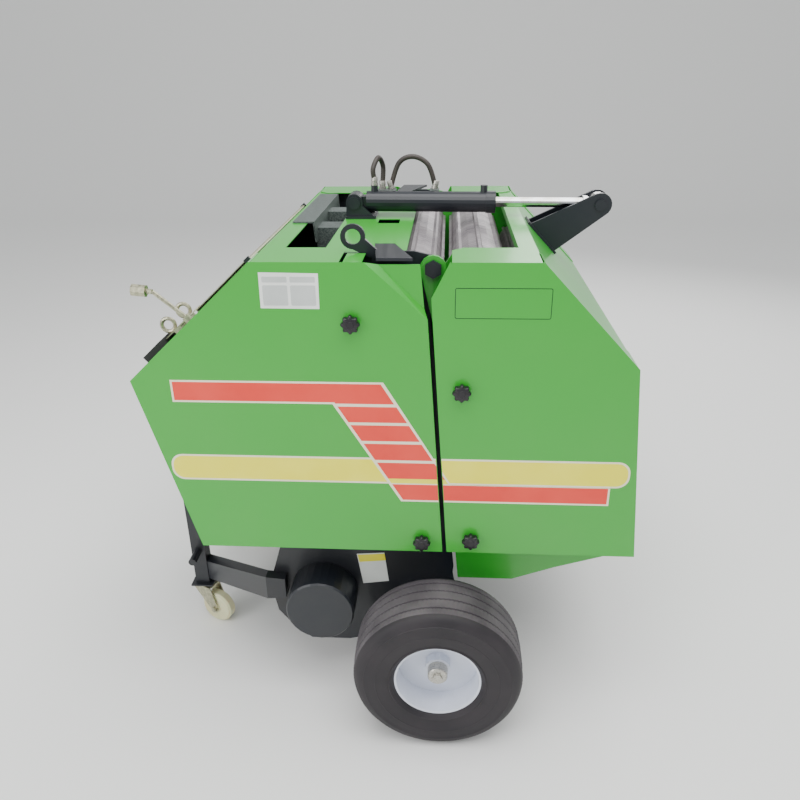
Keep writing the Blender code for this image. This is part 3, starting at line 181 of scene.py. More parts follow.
def slab(outline, low, high, axis=1):
    """A flat plate: an outline in the side view (x, z), carried from low to high along Y.
    With axis 2 the outline is (x, y) and it is carried along Z."""
    outline = np.asarray(outline, float)
    order = (0, 2, 1) if axis == 1 else (0, 1, 2)
    ends = [np.column_stack([outline, np.full(len(outline), level)])[:, order]
            for level in (low, high)]
    count = len(outline)
    i = np.arange(count)
    sides = np.stack([i, (i + 1) % count, (i + 1) % count + count, i + count], -1)
    faces = [tuple(range(count)), tuple(range(2 * count - 1, count - 1, -1))]
    return np.concatenate(ends), faces + [tuple(face) for face in sides.tolist()]


plain_floor = bpy.data.materials.new("floor_paper")
floor_points = np.stack(np.broadcast_arrays(
    np.array([-9.0, 9.0])[None, :], cove_y[:, None], cove_z[:, None]), -1).reshape(-1, 3)
floor = to_object("studio_floor", floor_points, grid_faces(len(cove_y), 2), plain_floor)
print("floor faces:", len(floor.data.polygons))

# %% [markdown]
# ## Finishes
# Each material starts from what the real one is and how its surface was made. Two lines of
# thought repeat: a pattern's scale is worked out from a size in millimetres, and the same
# pattern often drives both colour and roughness, as dust and wear do on real paint.

# %% Material helpers
def add_node(tree, kind, result=0, settings=None, **inputs):
    """Adds one shader node and gives back one of its outputs, by name or number.
    settings are the node's properties. Each input is named as in the editor, with _ for a space,
    or in_ and its number, and takes another node's output or a plain value."""
    made = tree.nodes.new(kind)
    for key, value in (settings or {}).items():
        setattr(made, key, value)
    for key, value in inputs.items():
        numbered = key.startswith("in_")
        socket = made.inputs[int(key[3:])] if numbered else made.inputs[key.replace("_", " ")]
        if isinstance(value, bpy.types.NodeSocket):
            tree.links.new(value, socket)
        else:
            socket.default_value = value
    return made.outputs[result]


def finish_named(name):
    """A new material, its node tree, its Principled shader and its Object coordinates."""
    made = bpy.data.materials.new(name)
    made.use_nodes = True
    tree = made.node_tree
    return made, tree, tree.nodes["Principled BSDF"], add_node(tree, "ShaderNodeTexCoord", "Object")


def grains(millimetres):
    """The scale of a noise whose grains are about that size, in a frame of metres."""
    return 1000 / (2 * millimetres)


NOISE, RAMP = "ShaderNodeTexNoise", "ShaderNodeMapRange"
MIX, BUMP = "ShaderNodeMix", "ShaderNodeBump"
MATHS, COLOURS = "ShaderNodeMath", {"data_type": "RGBA"}
TIMES = {"operation": "MULTIPLY"}
print("node helper ready")

# %% [markdown]
# ### Floor paper
# Studio paper is matte and nearly white. It has no pattern, so two values say all of it.

# %% Floor paper
plain_floor.use_nodes = True
floor_shader = plain_floor.node_tree.nodes["Principled BSDF"]
floor_shader.inputs["Base Color"].default_value = colour("#F2F2F0")
floor_shader.inputs["Roughness"].default_value = 0.9
print("floor paper ready")

# %% [markdown]
# ### Enamel
# Farm machines are sprayed with thick gloss enamel over pressed sheet. Up close it shows orange
# peel, a ripple of 2 to 4 mm that makes reflections wobble, and a film of dust that is heavier
# low down and dulls the gloss where it lies. One function makes the green, the navy black and the
# rim's white, because they differ only in colour, gloss and how clearly the dust shows.

# %% Enamel paints
def enamel(name, code, dust_code, dust_most, rough, coat):
    """Sprayed paint: peel from noise of 3 mm, dust from a broad noise times the lowness."""
    made, tree, shader, where = finish_named(name)
    patches = add_node(tree, NOISE, "Fac", Vector=where, Scale=grains(120), Detail=6.0,
                       Roughness=0.62)
    height = add_node(tree, "ShaderNodeSeparateXYZ", "Z", Vector=where)
    low_down = add_node(tree, RAMP, Value=height, From_Min=0.05, From_Max=0.75, To_Min=1.0,
                        To_Max=0.25)
    patch = add_node(tree, RAMP, Value=patches, From_Min=0.42, From_Max=0.72)
    dust = add_node(tree, MATHS, 0, TIMES, in_0=patch, in_1=low_down)
    share = add_node(tree, MATHS, 0, TIMES, in_0=dust, in_1=dust_most)
    paint = add_node(tree, MIX, 2, COLOURS, Factor=share, in_6=colour(code), in_7=colour(dust_code))
    wave = add_node(tree, NOISE, "Fac", Vector=where, Scale=grains(160), Detail=1.0)
    panel = add_node(tree, BUMP, Strength=0.25, Distance=0.004, Height=wave)
    peel = add_node(tree, NOISE, "Fac", Vector=where, Scale=grains(3), Detail=2.0)
    ripple = add_node(tree, BUMP, Strength=0.10, Distance=0.0006, Height=peel, Normal=panel)
    gloss = add_node(tree, RAMP, Value=share, From_Max=0.35, To_Min=rough, To_Max=rough + 0.28)
    for socket, value in (("Base Color", paint), ("Normal", ripple), ("Roughness", gloss)):
        tree.links.new(value, shader.inputs[socket])
    shader.inputs["Coat Weight"].default_value = coat
    shader.inputs["Coat Roughness"].default_value = 0.12
    return made


green_enamel = enamel("green_enamel", "#2FA42B", "#7F9A62", 0.16, 0.34, 0.35)
navy_enamel = enamel("navy_black_enamel", "#11161F", "#5B564C", 0.22, 0.42, 0.18)
rim_enamel = enamel("white_rim_enamel", "#E2E7F4", "#9A9386", 0.20, 0.30, 0.35)
print("enamels:", green_enamel.name, navy_enamel.name, rim_enamel.name)

# %% [markdown]
# ### Bare and plated steel
# The drums are bare rolled plate: mill scale gives a mottled grey-violet, and hay polishes thin
# rings round them, so the lines run round the drum and change only along it. Zinc plate is
# brighter, faintly yellow, with a fine crystal spangle. A hard-chromed rod is nearly a mirror.

# %% Drum steel
rolled_steel, tree, shader, where = finish_named("rolled_drum_steel")
mottle = add_node(tree, NOISE, "Fac", Vector=where, Scale=grains(28), Detail=8.0, Roughness=0.7)
along = add_node(tree, "ShaderNodeMapping", Vector=where, Scale=(6, 420, 6))
rings = add_node(tree, NOISE, "Fac", Vector=along, Scale=1.0, Detail=3.0)
scale_share = add_node(tree, RAMP, Value=mottle, From_Min=0.35, From_Max=0.68)
mill_scale = add_node(tree, MIX, 2, COLOURS, Factor=scale_share, in_6=colour("#7A7478"),
                      in_7=colour("#A29B9D"))
polished = add_node(tree, RAMP, Value=rings, From_Min=0.50, From_Max=0.72, To_Max=0.55)
steel_colour = add_node(tree, MIX, 2, COLOURS, Factor=polished, in_6=mill_scale,
                        in_7=colour("#C3BEC0"))
steel_gloss = add_node(tree, RAMP, Value=rings, From_Min=0.3, From_Max=0.75, To_Min=0.62,
                       To_Max=0.36)
dents = add_node(tree, BUMP, Strength=0.35, Distance=0.0008, Height=mottle)
for socket, value in (("Base Color", steel_colour), ("Normal", dents), ("Roughness", steel_gloss)):
    tree.links.new(value, shader.inputs[socket])
shader.inputs["Metallic"].default_value = 0.7
print("drum steel nodes:", len(tree.nodes))

# %% [markdown]
# ### Plated steel
# Plating follows the metal under it, so one function serves zinc, chrome, bolts and a cast block.
# They differ in colour, in the size of the grain and in how nearly they are mirrors.

# %% Plated steels
def plated(name, code, second, grain_mm, rough, rougher, metallic, depth):
    """Plating: two close colours and a gloss that changes with the same fine pattern."""
    made, tree, shader, where = finish_named(name)
    pattern = add_node(tree, NOISE, "Fac", Vector=where, Scale=grains(grain_mm), Detail=4.0)
    share = add_node(tree, RAMP, Value=pattern, From_Min=0.36, From_Max=0.68)
    tone = add_node(tree, MIX, 2, COLOURS, Factor=share, in_6=colour(code), in_7=colour(second))
    gloss = add_node(tree, RAMP, Value=share, To_Min=rough, To_Max=rougher)
    relief = add_node(tree, BUMP, Strength=0.35, Distance=depth, Height=pattern)
    for socket, value in (("Base Color", tone), ("Normal", relief), ("Roughness", gloss)):
        tree.links.new(value, shader.inputs[socket])
    shader.inputs["Metallic"].default_value = metallic
    return made


zinc = plated("yellow_zinc_plate", "#9C9A84", "#C4C1A6", 4, 0.30, 0.44, 0.85, 0.0002)
chrome = plated("hard_chromed_rod", "#E6E8EC", "#CFCCC2", 14, 0.10, 0.24, 1.0, 0.00005)
bright_bolt = plated("bright_zinc_bolt", "#A9A69E", "#C9C6BE", 1.5, 0.26, 0.46, 0.9, 0.0003)
cast_grey = plated("grey_cast_block", "#3E4644", "#66706C", 1.8, 0.46, 0.56, 0.25, 0.0006)
print("plated:", zinc.name, chrome.name, bright_bolt.name, cast_grey.name)

# %% [markdown]
# ### Rubber, nylon and film
# Tyre rubber is never quite black: it is a brownish violet-grey that goes paler where dust sits in
# the tread. The caster's nylon lets a little light in, so it looks creamy. The coloured bands are
# printed vinyl film, smoother than the paint around them, with a thin pale edge.

# %% Rubbers, nylon and film
def moulded(name, code, second, grain_mm, rough, depth=0.0004):
    """A moulded or printed surface: two close colours and a fine grain of one size."""
    made, tree, shader, where = finish_named(name)
    fine = add_node(tree, NOISE, "Fac", Vector=where, Scale=grains(grain_mm), Detail=4.0)
    broad = add_node(tree, NOISE, "Fac", Vector=where, Scale=grains(45), Detail=5.0)
    share = add_node(tree, RAMP, Value=broad, From_Min=0.38, From_Max=0.70)
    tone = add_node(tree, MIX, 2, COLOURS, Factor=share, in_6=colour(code), in_7=colour(second))
    gloss = add_node(tree, RAMP, Value=share, To_Min=rough, To_Max=rough + 0.08)
    relief = add_node(tree, BUMP, Strength=0.4, Distance=depth, Height=fine)
    for socket, value in (("Base Color", tone), ("Normal", relief), ("Roughness", gloss)):
        tree.links.new(value, shader.inputs[socket])
    return made


tyre_rubber = moulded("tyre_rubber", "#1C181D", "#2C272B", 1.2, 0.62)
tread_rubber = moulded("dusty_tread_rubber", "#454045", "#5F5A5E", 1.2, 0.78)
hose_rubber = moulded("hydraulic_hose_rubber", "#282320", "#4A423D", 0.8, 0.50)
pad_rubber = moulded("pad_rubber", "#1B1B1C", "#2A2A2B", 1.0, 0.70)
knob_plastic = moulded("moulded_knob_plastic", "#17151A", "#201C20", 0.9, 0.38)
caster_nylon = moulded("caster_nylon", "#E3E2B9", "#CBC79C", 1.4, 0.42)
caster_nylon.node_tree.nodes["Principled BSDF"].inputs["Subsurface Weight"].default_value = 0.15
red_film = moulded("red_vinyl_film", "#E63A2B", "#EC4636", 0.7, 0.30, 0.0001)
yellow_film = moulded("yellow_vinyl_film", "#F3EA33", "#F7EF45", 0.7, 0.30, 0.0001)
pale_film = moulded("cream_vinyl_film", "#EFE9C8", "#F4EFD6", 0.7, 0.32, 0.0001)
label_film = moulded("label_film", "#E4E8E2", "#EDF0EC", 0.7, 0.34, 0.0001)
label_grey = moulded("label_panel_grey", "#B9BFBC", "#C6CBC8", 0.7, 0.36, 0.0001)
print("moulded and printed finishes ready")

# %% [markdown]
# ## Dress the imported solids
# A solid whose shape is right keeps its mesh and only changes its material. The table below reads
# like a paint list from a workshop.

# %% Paint the solids
PAINT_LIST = {
    green_enamel: "front_cover gate_cover front_panel top_sheet gate_sheet gate_wall",
    navy_enamel: "chamber_wall hinge_bracket cylinder_bracket cylinder_tube cylinder_arm axle "
                 "pickup_cover hitch_frame side_beam gearbox lid_ear",
    rolled_steel: "front_roller gate_roller pickup_reel stripper_bands pto_input_shaft",
    zinc: "twine_box_lid twine_crank twine_guide caster_fork",
    cast_grey: "twine_feeder port_block",
    chrome: "cylinder_rod",
    rim_enamel: "rim",
    tyre_rubber: "tyre",
    hose_rubber: "hose",
    pad_rubber: "nose_pad",
    caster_nylon: "caster_wheel",
}
painted = 0
for finish, words in PAINT_LIST.items():
    for node_name, node_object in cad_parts.items():
        if any(node_name.startswith(word) for word in words.split()):
            node_object.data.materials.clear()
            node_object.data.materials.append(finish)
            painted += 1
print("painted", painted, "of", len(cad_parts), "solids")

# %% [markdown]
# ## Coloured bands on the side covers
# The bands are vinyl film: a pale sheet cut a little larger, and the colours laid on it. They could
# be painted into the cover's material, but then every edge would be blurred by the pattern's own
# resolution. Thin plates keep the edges sharp, and a band that crosses from the body to the gate
# is cut at the parting line so that each half moves with its own cover.

# %% Measures taken from the frame
AXLE = (Vector(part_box("tyre_left")[0]) + Vector(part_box("tyre_left")[1])) / 2
COVER_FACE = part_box("front_cover_right")[1].y
WALL_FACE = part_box("pickup_cover_right")[0].y
FILM = 0.00015               # one thickness of film
SPLIT_FOOT, SPLIT_SLOPE, SPLIT_HALF = (0.012, 0.470), math.tan(math.radians(3.6)), 0.0065
SIDES = {"left": -1, "right": 1}


def cut_at_split(outline, keep_front):
    """The part of an outline in front of the parting line, or behind it. Corners are walked in
    order, and one is added wherever an edge crosses the line x = foot - slope * (z - foot z)."""
    sign = 1 if keep_front else -1
    outline = np.asarray(outline, float)
    line_x = SPLIT_FOOT[0] - SPLIT_SLOPE * (outline[:, 1] - SPLIT_FOOT[1])
    depth = sign * (line_x - outline[:, 0]) - SPLIT_HALF
    kept = []
    for here, there, depth_here, depth_there in zip(outline, np.roll(outline, -1, 0), depth,
                                                    np.roll(depth, -1)):
        if depth_here >= 0:
            kept.append(here)
        if depth_here * depth_there < 0:
            kept.append(here + (there - here) * depth_here / (depth_here - depth_there))
    return np.array(kept)


def film(name, outline, finish, layer, body="chassis", sides=SIDES, face=None):
    """Film on the covers' faces, side view outline in metres with the wheel axle at x = 0."""
    face = COVER_FACE if face is None else face
    for word, side in sides.items():
        levels = sorted((side * (face + FILM * (layer - 0.5)), side * (face + FILM * (layer + 1))))
        flat = np.asarray(outline, float) + (AXLE.x, 0)
        piece = to_object(f"{name}_{word}", *slab(flat, *levels), finish, smooth_deg=0)
        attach(piece, body)


def film_over_split(name, outline, finish, layer):
    """Film that runs from the body's cover onto the gate's, cut at the parting line."""
    for part, body, front in (("front", "chassis", True), ("rear", "gate", False)):
        kept = cut_at_split(outline, front)
        if len(kept) > 2:
            film(f"{name}_{part}", kept, finish, layer, body)


def rounded_bar(low, high, radius, steps=7):
    """A rectangle from low (x, z) to high (x, z) with quarter circles at its corners."""
    turns = np.linspace(0, np.pi / 2, steps)
    centres = [(high[0] - radius, high[1] - radius), (low[0] + radius, high[1] - radius),
               (low[0] + radius, low[1] + radius), (high[0] - radius, low[1] + radius)]
    return np.concatenate([np.column_stack([x + radius * np.cos(turns + k * np.pi / 2),
                                            z + radius * np.sin(turns + k * np.pi / 2)])
                           for k, (x, z) in enumerate(centres)])


print("axle at", tuple(round(v, 4) for v in AXLE), "cover face", round(COVER_FACE, 4))

# %% [markdown]
# ### The bands
# A yellow band runs the whole length. A red one steps down from the front to the gate by a
# slanting block of stripes. The sheets are stacked: pale edge, yellow, pale edge, red.

# %% Lay the bands
EDGE = 0.0045                # how far the pale sheet shows
SLANT = 0.60                 # the block leans back by this much for each metre down
RED_TOP, RED_TOP_LOW, RED_FOOT_HIGH, RED_FOOT = 0.904, 0.860, 0.655, 0.614
RED_FRONT_X, RED_REAR_X = -0.590, 0.378
YELLOW = ((-0.616, 0.661), (0.418, 0.719))
SEAMS = (0.8535, 0.8085, 0.7625, 0.7145, 0.6640)
SEAM_HALF = 0.0035


def left_x(z):
    """Front edge of the slanting block at a height."""
    return -0.147 + SLANT * (0.717 - z)


def right_x(z):
    """Rear edge of the slanting block at a height."""
    return -0.014 + SLANT * (0.712 - z)


def stripe(low, high):
    """One stripe of the slanting block between two heights."""
    return [(left_x(high), high), (right_x(high), high), (right_x(low), low), (left_x(low), low)]


film_over_split("yellow_edge", rounded_bar((YELLOW[0][0] - EDGE, YELLOW[0][1] - EDGE),
                                           (YELLOW[1][0] + EDGE, YELLOW[1][1] + EDGE), 0.028),
                pale_film, 0)
film_over_split("yellow_band", rounded_bar(*YELLOW, 0.025), yellow_film, 1)
pale_figure = [(RED_FRONT_X - EDGE, RED_TOP + EDGE), (right_x(RED_TOP) + EDGE, RED_TOP + EDGE),
               (right_x(RED_FOOT_HIGH) + EDGE, RED_FOOT_HIGH + 0.001),
               (RED_REAR_X + EDGE, RED_FOOT_HIGH + 0.001), (RED_REAR_X + EDGE, RED_FOOT - EDGE),
               (left_x(RED_FOOT) - EDGE, RED_FOOT - EDGE),
               (left_x(RED_TOP_LOW) - EDGE, RED_TOP_LOW - EDGE),
               (RED_FRONT_X - EDGE, RED_TOP_LOW - EDGE)]
film_over_split("red_edge", pale_figure, pale_film, 2)
film_over_split("golden_seam", stripe(SEAMS[4] - 0.006, SEAMS[4] + 0.006), yellow_film, 3)
film("red_top_band", [(RED_FRONT_X, RED_TOP), (right_x(RED_TOP) - 0.001, RED_TOP),
                      (right_x(SEAMS[0] + SEAM_HALF) - 0.001, SEAMS[0] + SEAM_HALF),
                      (left_x(SEAMS[0] + SEAM_HALF), SEAMS[0] + SEAM_HALF),
                      (left_x(RED_TOP_LOW), RED_TOP_LOW), (RED_FRONT_X, RED_TOP_LOW)], red_film, 3)
for number, (upper, lower) in enumerate(zip(SEAMS[:3], SEAMS[1:4]), 1):
    film(f"red_stripe_{number}", stripe(lower + SEAM_HALF, upper - SEAM_HALF), red_film, 3)
film_over_split("red_stripe_4", stripe(SEAMS[4] + 0.006, SEAMS[3] - SEAM_HALF), red_film, 3)
foot_band = [(left_x(RED_FOOT_HIGH), RED_FOOT_HIGH), (RED_REAR_X, RED_FOOT_HIGH),
             (RED_REAR_X, RED_FOOT), (left_x(RED_FOOT), RED_FOOT)]
film_over_split("red_foot_band", foot_band, red_film, 3)
print("bands laid on both sides")

# %% [markdown]
# ## Blank plates
# An instruction plate near the top of the body, a number field on the gate and a small safety
# plate on the dark wall are kept as places, with nothing written on them: a pale sheet with plain
# grey fields, and a rectangle drawn as a thin line.

# %% Plates
left_only = {"left": -1}
film("instruction_plate", [(-0.376, 1.073), (-0.253, 1.072), (-0.252, 1.147), (-0.375, 1.149)],
     label_film, 0, sides=left_only)
for number, start in enumerate((-0.369, -0.311), 1):
    film(f"plate_field_{number}", rounded_bar((start, 1.079), (start + 0.052, 1.122), 0.003),
         label_grey, 1, sides=left_only)
    film(f"plate_heading_{number}", rounded_bar((start, 1.128), (start + 0.052, 1.140), 0.002),
         label_grey, 1, sides=left_only)
film("number_field", rounded_bar((0.026, 1.053), (0.222, 1.118), 0.004), knob_plastic, 0, "gate")
film("number_ground", rounded_bar((0.0275, 1.0545), (0.2205, 1.1165), 0.003), green_enamel, 1,
     "gate")
wall_layer = {"face": WALL_FACE, "sides": left_only}
film("safety_plate", [(-0.198, 0.297), (-0.131, 0.307), (-0.141, 0.396), (-0.212, 0.390)],
     label_film, 0, **wall_layer)
film("safety_plate_top", [(-0.206, 0.365), (-0.138, 0.372), (-0.1408, 0.393), (-0.210, 0.3875)],
     yellow_film, 1, **wall_layer)
print("plates are blank")

# %% [markdown]
# ## Star knobs
# Each cover is held by two eight-lobed star knobs on studs, so it comes off without tools. The
# lobes could be eight small cylinders joined together, but a single turned surface whose radius
# rises and falls with cos(8 t) gives the same grip with smooth hollows between.

# %% Knobs
KNOB_RADIUS, LOBES, LOBE_DEPTH = 0.0205, 8, 0.0021
KNOB_PROFILE = [(0.0, 0.0225), (0.008, 0.0225), (0.0085, 0.0215), (0.0105, 0.0212),
                (0.0172, 0.0205), (0.0198, 0.0185), (0.0205, 0.0160), (0.0205, 0.0085),
                (0.0195, 0.0060), (0.0165, 0.0048), (0.0105, 0.0040), (0.0100, 0.0006),
                (0.0, 0.0006)]


def lobes(radius, along, t):
    """Radius change: -depth * (1 - cos(8 t)) / 2, strongest at the rim and none at the middle."""
    share = np.clip((radius - 0.009) / (KNOB_RADIUS - 0.009), 0, 1) ** 1.5
    return -LOBE_DEPTH * (1 - np.cos(LOBES * t)) * share


def knob(name, place, side, body):
    """A star knob whose foot stands on the cover's face at a place (x, z)."""
    profile = [(radius, side * along) for radius, along in KNOB_PROFILE]
    centre = (AXLE.x + place[0], side * COVER_FACE, place[1])
    points, faces = turned_grid(profile, centre, 96, lobes)
    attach(to_object(name, points, faces, knob_plastic, 40), body)


for word, side in SIDES.items():
    knob(f"knob_front_top_{word}", (-0.189, 1.043), side, "chassis")
    knob(f"knob_front_foot_{word}", (-0.042, 0.502), side, "chassis")
    knob(f"knob_gate_top_{word}", (0.044, 0.891), side, "gate")
    knob(f"knob_gate_foot_{word}", (0.073, 0.510), side, "gate")
print("eight knobs")

# %% [markdown]
# ## Tyres
# The frame's tyre is a plain ring. The real one is a ribbed implement tyre: four grooves run round
# the tread, fine slits cross the ribs, and a bead line and two shallow rings break up each wall.
# It could be a lattice of blocks, but a ribbed tread is a turned shape, so one profile with the
# grooves drawn in it does the whole ring, and the slits are a small wave in the radius.

# %% Tyres with a ribbed tread
TREAD_RADIUS, BEAD_RADIUS, TREAD_HALF = AXLE.z, 0.1019, 0.062
GROOVE_DEPTH, GROOVE_HALF, SLIT_DEPTH, SLITS = 0.0050, 0.0024, 0.0016, 120
GROOVES, CROWN_CURVE, TYRE_STEPS = (0.0430, 0.0145), 0.9, 480
wall = [(BEAD_RADIUS, 0.0655), (0.1075, 0.0745), (0.1120, 0.0775), (0.1128, 0.0790),
        (0.1150, 0.0790), (0.1160, 0.0777), (0.1300, 0.0805), (0.1450, 0.0823), (0.1456, 0.0829),
        (0.1475, 0.0829), (0.1482, 0.0824), (0.1600, 0.0822), (0.1720, 0.0806), (0.1728, 0.0809),
        (0.1750, 0.0806), (0.1758, 0.0795), (0.1850, 0.0765), (0.1915, 0.0725), (0.1962, 0.0672),
        (0.1990, 0.0610), (0.2000, 0.0590)]
tread = []
for middle in GROOVES:
    crown = TREAD_RADIUS - CROWN_CURVE * middle ** 2
    tread += [(crown, middle + GROOVE_HALF + 0.0090), (crown, middle + GROOVE_HALF + 0.0004),
              (crown - GROOVE_DEPTH, middle + GROOVE_HALF - 0.0008),
              (crown - GROOVE_DEPTH, middle - GROOVE_HALF + 0.0008),
              (crown, middle - GROOVE_HALF - 0.0004)]
half = np.array(wall + tread)
whole = np.concatenate([half, (half * (1, -1))[::-1]])


def slits(radius, along, t):
    """Radius change: a narrow dip wherever sin(60 t + 90 along) nears 0, on the ribs only."""
    rib = (radius > TREAD_RADIUS - 0.0035) & (np.abs(along) < TREAD_HALF)
    near = np.exp(-(np.sin(SLITS / 2 * t + 90 * along) / 0.35) ** 2)
    return -SLIT_DEPTH * near * rib


for word, side in SIDES.items():
    profile = np.concatenate([whole, [(BEAD_RADIUS, 0)]])
    centre = (AXLE.x, side * abs(AXLE.y), AXLE.z)
    points, faces = turned_grid(profile, centre, TYRE_STEPS, slits)
    ring = np.arange(TYRE_STEPS)
    following, last = (ring + 1) % TYRE_STEPS, (len(profile) - 1) * TYRE_STEPS
    closing = np.stack([last + ring, last + following, following, ring], -1)
    faces = np.concatenate([faces, closing])
    tyre = to_object(f"ribbed_tyre_{word}", points, faces, tyre_rubber, 32)
    tyre.data.materials.append(tread_rubber)
    across = np.array([abs(polygon.center.y) for polygon in tyre.data.polygons]) - abs(centre[1])
    out = np.array([math.hypot(polygon.center.x - centre[0], polygon.center.z - centre[2])
                    for polygon in tyre.data.polygons])
    on_tread = (out > TREAD_RADIUS - 0.0065) & (np.abs(across) < TREAD_HALF + 0.002)
    tyre.data.polygons.foreach_set("material_index", on_tread.astype(np.int32))
    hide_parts(f"tyre_{word}")
    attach(tyre, f"wheel_{word}")
print("tyre faces:", len(faces))

# %% [markdown]
# ## Rims
# The wheel is a pressed rim: rolled flanges at both edges, a drop centre between them and a
# dished disc with a hub cap and a valve. The frame's rim has the disc and barrel. Only what is
# finer is added here: the rolled bead along each flange, a bright cap with a bolt head, and the
# valve with its knurled cap.

# %% Rim beads, caps and valves
FLANGE_RADIUS, FLANGE_AT, ROLLED = 0.1180, 0.0702, 0.0030
BOLT_RADIUS, BOLT_FOOT, VALVE_CIRCLE, VALVE_TURN = 0.0130, 0.0535, 0.086, math.radians(62)
CAP = [(0.0, 0.0610), (0.0115, 0.0610), (0.0125, 0.0600), (0.0127, 0.0540), (0.0215, 0.0530),
       (0.0238, 0.0508), (0.0241, 0.0330), (0.0241, 0.0130), (0.0, 0.0130)]
VALVE = [(0.0, 0.0340), (0.0036, 0.0335), (0.0040, 0.0240), (0.0034, 0.0235), (0.0034, 0.0120),
         (0.0058, 0.0060), (0.0072, 0.0), (0.0, 0.0)]


def six_sided(radius, along, t):
    """Radius change of the bolt head: a circle becomes r cos(30) / cos(t - nearest flat)."""
    head = (radius < BOLT_RADIUS) & (np.abs(along) > BOLT_FOOT)
    flat = np.cos(np.pi / 6) / np.cos((t % (np.pi / 3)) - np.pi / 6)
    return np.where(head, radius * (flat - 1), 0.0)


for word, side in SIDES.items():
    centre = (AXLE.x, side * abs(AXLE.y), AXLE.z)
    wheel = f"wheel_{word}"
    t = np.linspace(0, 2 * np.pi, 13)
    for number, along in enumerate((FLANGE_AT, -FLANGE_AT)):
        bead = np.column_stack([FLANGE_RADIUS + ROLLED * np.cos(t),
                                side * (along + ROLLED * np.sin(t))])
        points, faces = turned_grid(bead, centre, 96)
        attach(to_object(f"rim_bead_{number}_{word}", points, faces, rim_enamel, 60), wheel)
    points, faces = turned_grid([(r, side * a) for r, a in CAP], centre, 96, six_sided)
    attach(to_object(f"hub_cap_{word}", points, faces, bright_bolt, 30), wheel)
    foot = (centre[0] + VALVE_CIRCLE * math.cos(VALVE_TURN), centre[1] + side * 0.004,
            centre[2] + VALVE_CIRCLE * math.sin(VALVE_TURN))
    points, faces = turned_grid([(r, side * a) for r, a in VALVE], foot, 24)
    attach(to_object(f"tyre_valve_{word}", points, faces, knob_plastic, 40), wheel)
print("rims dressed")

# %% [markdown]
# ## Tubes along a line
# Hoses, the cylinder and small rods are all a circle carried along a line. A bevelled curve would
# do, but its ends are open unless capped. Here the circle is carried by a frame that turns as
# little as possible from point to point, and each end closes in a single point.

# %% Swept tubes
def smooth_line(points, each=12):
    """A smooth line through points: Catmull-Rom, p = (a + b t + c t^2 + d t^3) / 2."""
    p = np.asarray([tuple(point) for point in points], float)
    p = np.concatenate([[2 * p[0] - p[1]], p, [2 * p[-1] - p[-2]]])
    t = np.linspace(0, 1, each, endpoint=False)[:, None]
    parts = [(2 * b + (c - a) * t + (2 * a - 5 * b + 4 * c - d) * t ** 2
              + (3 * b - a - 3 * c + d) * t ** 3) / 2
             for a, b, c, d in zip(p[:-3], p[1:-2], p[2:-1], p[3:])]
    return np.concatenate(parts + [p[-2:-1]])


def tube(name, line, radius, finish, body, steps=20, smooth_deg=50):
    """A closed tube round a line. radius is one value or one for each point of the line."""
    line = np.asarray([tuple(point) for point in line], float)
    ahead = np.gradient(line, axis=0)
    ahead /= np.linalg.norm(ahead, axis=1)[:, None]
    across = np.cross(ahead[0], (0.0, 1.0, 0.0) if abs(ahead[0][1]) < 0.9 else (1.0, 0.0, 0.0))
    rings, t = [], np.linspace(0, 2 * np.pi, steps, endpoint=False)[:, None]
    radii = np.broadcast_to(np.asarray(radius, float), (len(line),))
    for point, way, size in zip(line, ahead, radii):
        across = across - way * np.dot(across, way)
        across /= np.linalg.norm(across)
        rings.append(point + size * (np.cos(t) * across + np.sin(t) * np.cross(way, across)))
    points = np.concatenate([np.repeat(line[:1], steps, 0), *rings, np.repeat(line[-1:], steps, 0)])
    made = to_object(name, points, grid_faces(len(line) + 2, steps, wrap_columns=True), finish,
                     smooth_deg)
    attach(made, body)
    return made


def stepped(start, way, steps):
    """A line and radii of a turned part along a way, from (distance, radius) pairs whose distances
    rise. Two that are 0.1 mm apart give a sharp step."""
    start, way = Vector(start), Vector(way).normalized()
    return [start + way * distance for distance, radius in steps], [radius for _, radius in steps]


print("tube maker ready")

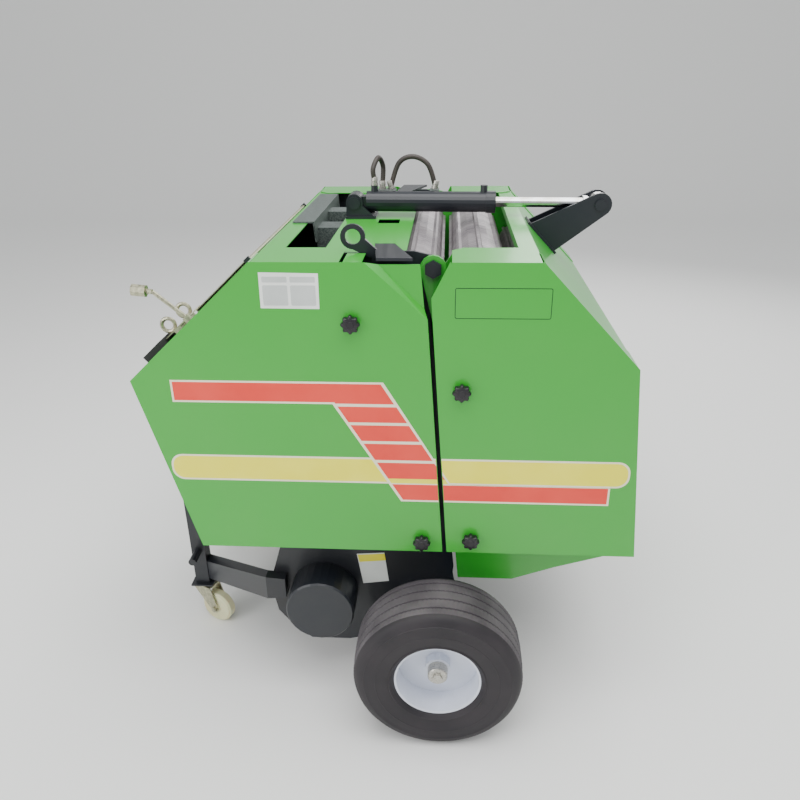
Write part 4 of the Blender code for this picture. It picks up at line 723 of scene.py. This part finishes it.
# %% [markdown]
# ## Hoses
# Two short hydraulic hoses stand up from the lift cylinder, one as a wide arch and one as a narrow
# loop. They are set stiff by their own braid, so they keep a bent shape and don't hang. A smooth
# line through a few points gives the bend, and each end has a crimped collar and a hexagon nut.

# %% Hoses and their fittings
FOOT, EYE = (Vector((AXLE.x + x, 0, z)) for x, z in ((-0.232, 1.207), (0.392, 1.201)))
LINE = (EYE - FOOT).normalized()
LIFTED = Vector((-LINE.z, 0, LINE.x))
HOSE, HOSE_TOP, PORT_Y = 0.0065, 1.312, 0.042
port = FOOT + LINE * 0.050 + LIFTED * 0.0403
elbow = FOOT + LINE * 0.205 + Vector((0, PORT_Y, 0.026))
loop_end = Vector((FOOT.x + 0.068, PORT_Y, elbow.z))
arch_start = Vector((FOOT.x + 0.092, PORT_Y, elbow.z))
middle = (arch_start + elbow) / 2
lift, rise = Vector((0, 0, 0.0003)), Vector((0, 0, 0.012))
arch_points = [arch_start + lift, arch_start + lift + rise, middle + Vector((-0.036, 0, 0.066)),
               Vector((middle.x, middle.y, HOSE_TOP)), middle + Vector((0.038, 0, 0.062)),
               elbow + lift + rise, elbow + lift]
loop_points = [port, port + LIFTED * 0.012, Vector((port.x - 0.002, -0.002, 1.288)),
               Vector((port.x + 0.010, 0.021, HOSE_TOP)),
               Vector((loop_end.x + 0.002, 0.044, 1.288)), loop_end + lift + rise, loop_end + lift]
for name, points in (("hose_arch", arch_points), ("hose_loop", loop_points)):
    line = smooth_line(points, 16)
    hose = tube(f"{name}_braided", line, HOSE, hose_rubber, "cylinder_tube", 24)
    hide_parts(name)
    for end, places in (("start", line), ("end", line[::-1])):
        way = Vector(places[4] - places[0])
        places, radii = stepped(places[0], way, [
            (0.0, 0.0092), (0.0060, 0.0092), (0.0061, 0.0078), (0.0100, 0.0078),
            (0.0105, 0.0084), (0.0205, 0.0084), (0.0212, 0.0080), (0.0214, 0.0066)])
        tube(f"{name}_collar_{end}", places, radii, bright_bolt, "cylinder_tube",
                            24, 30)
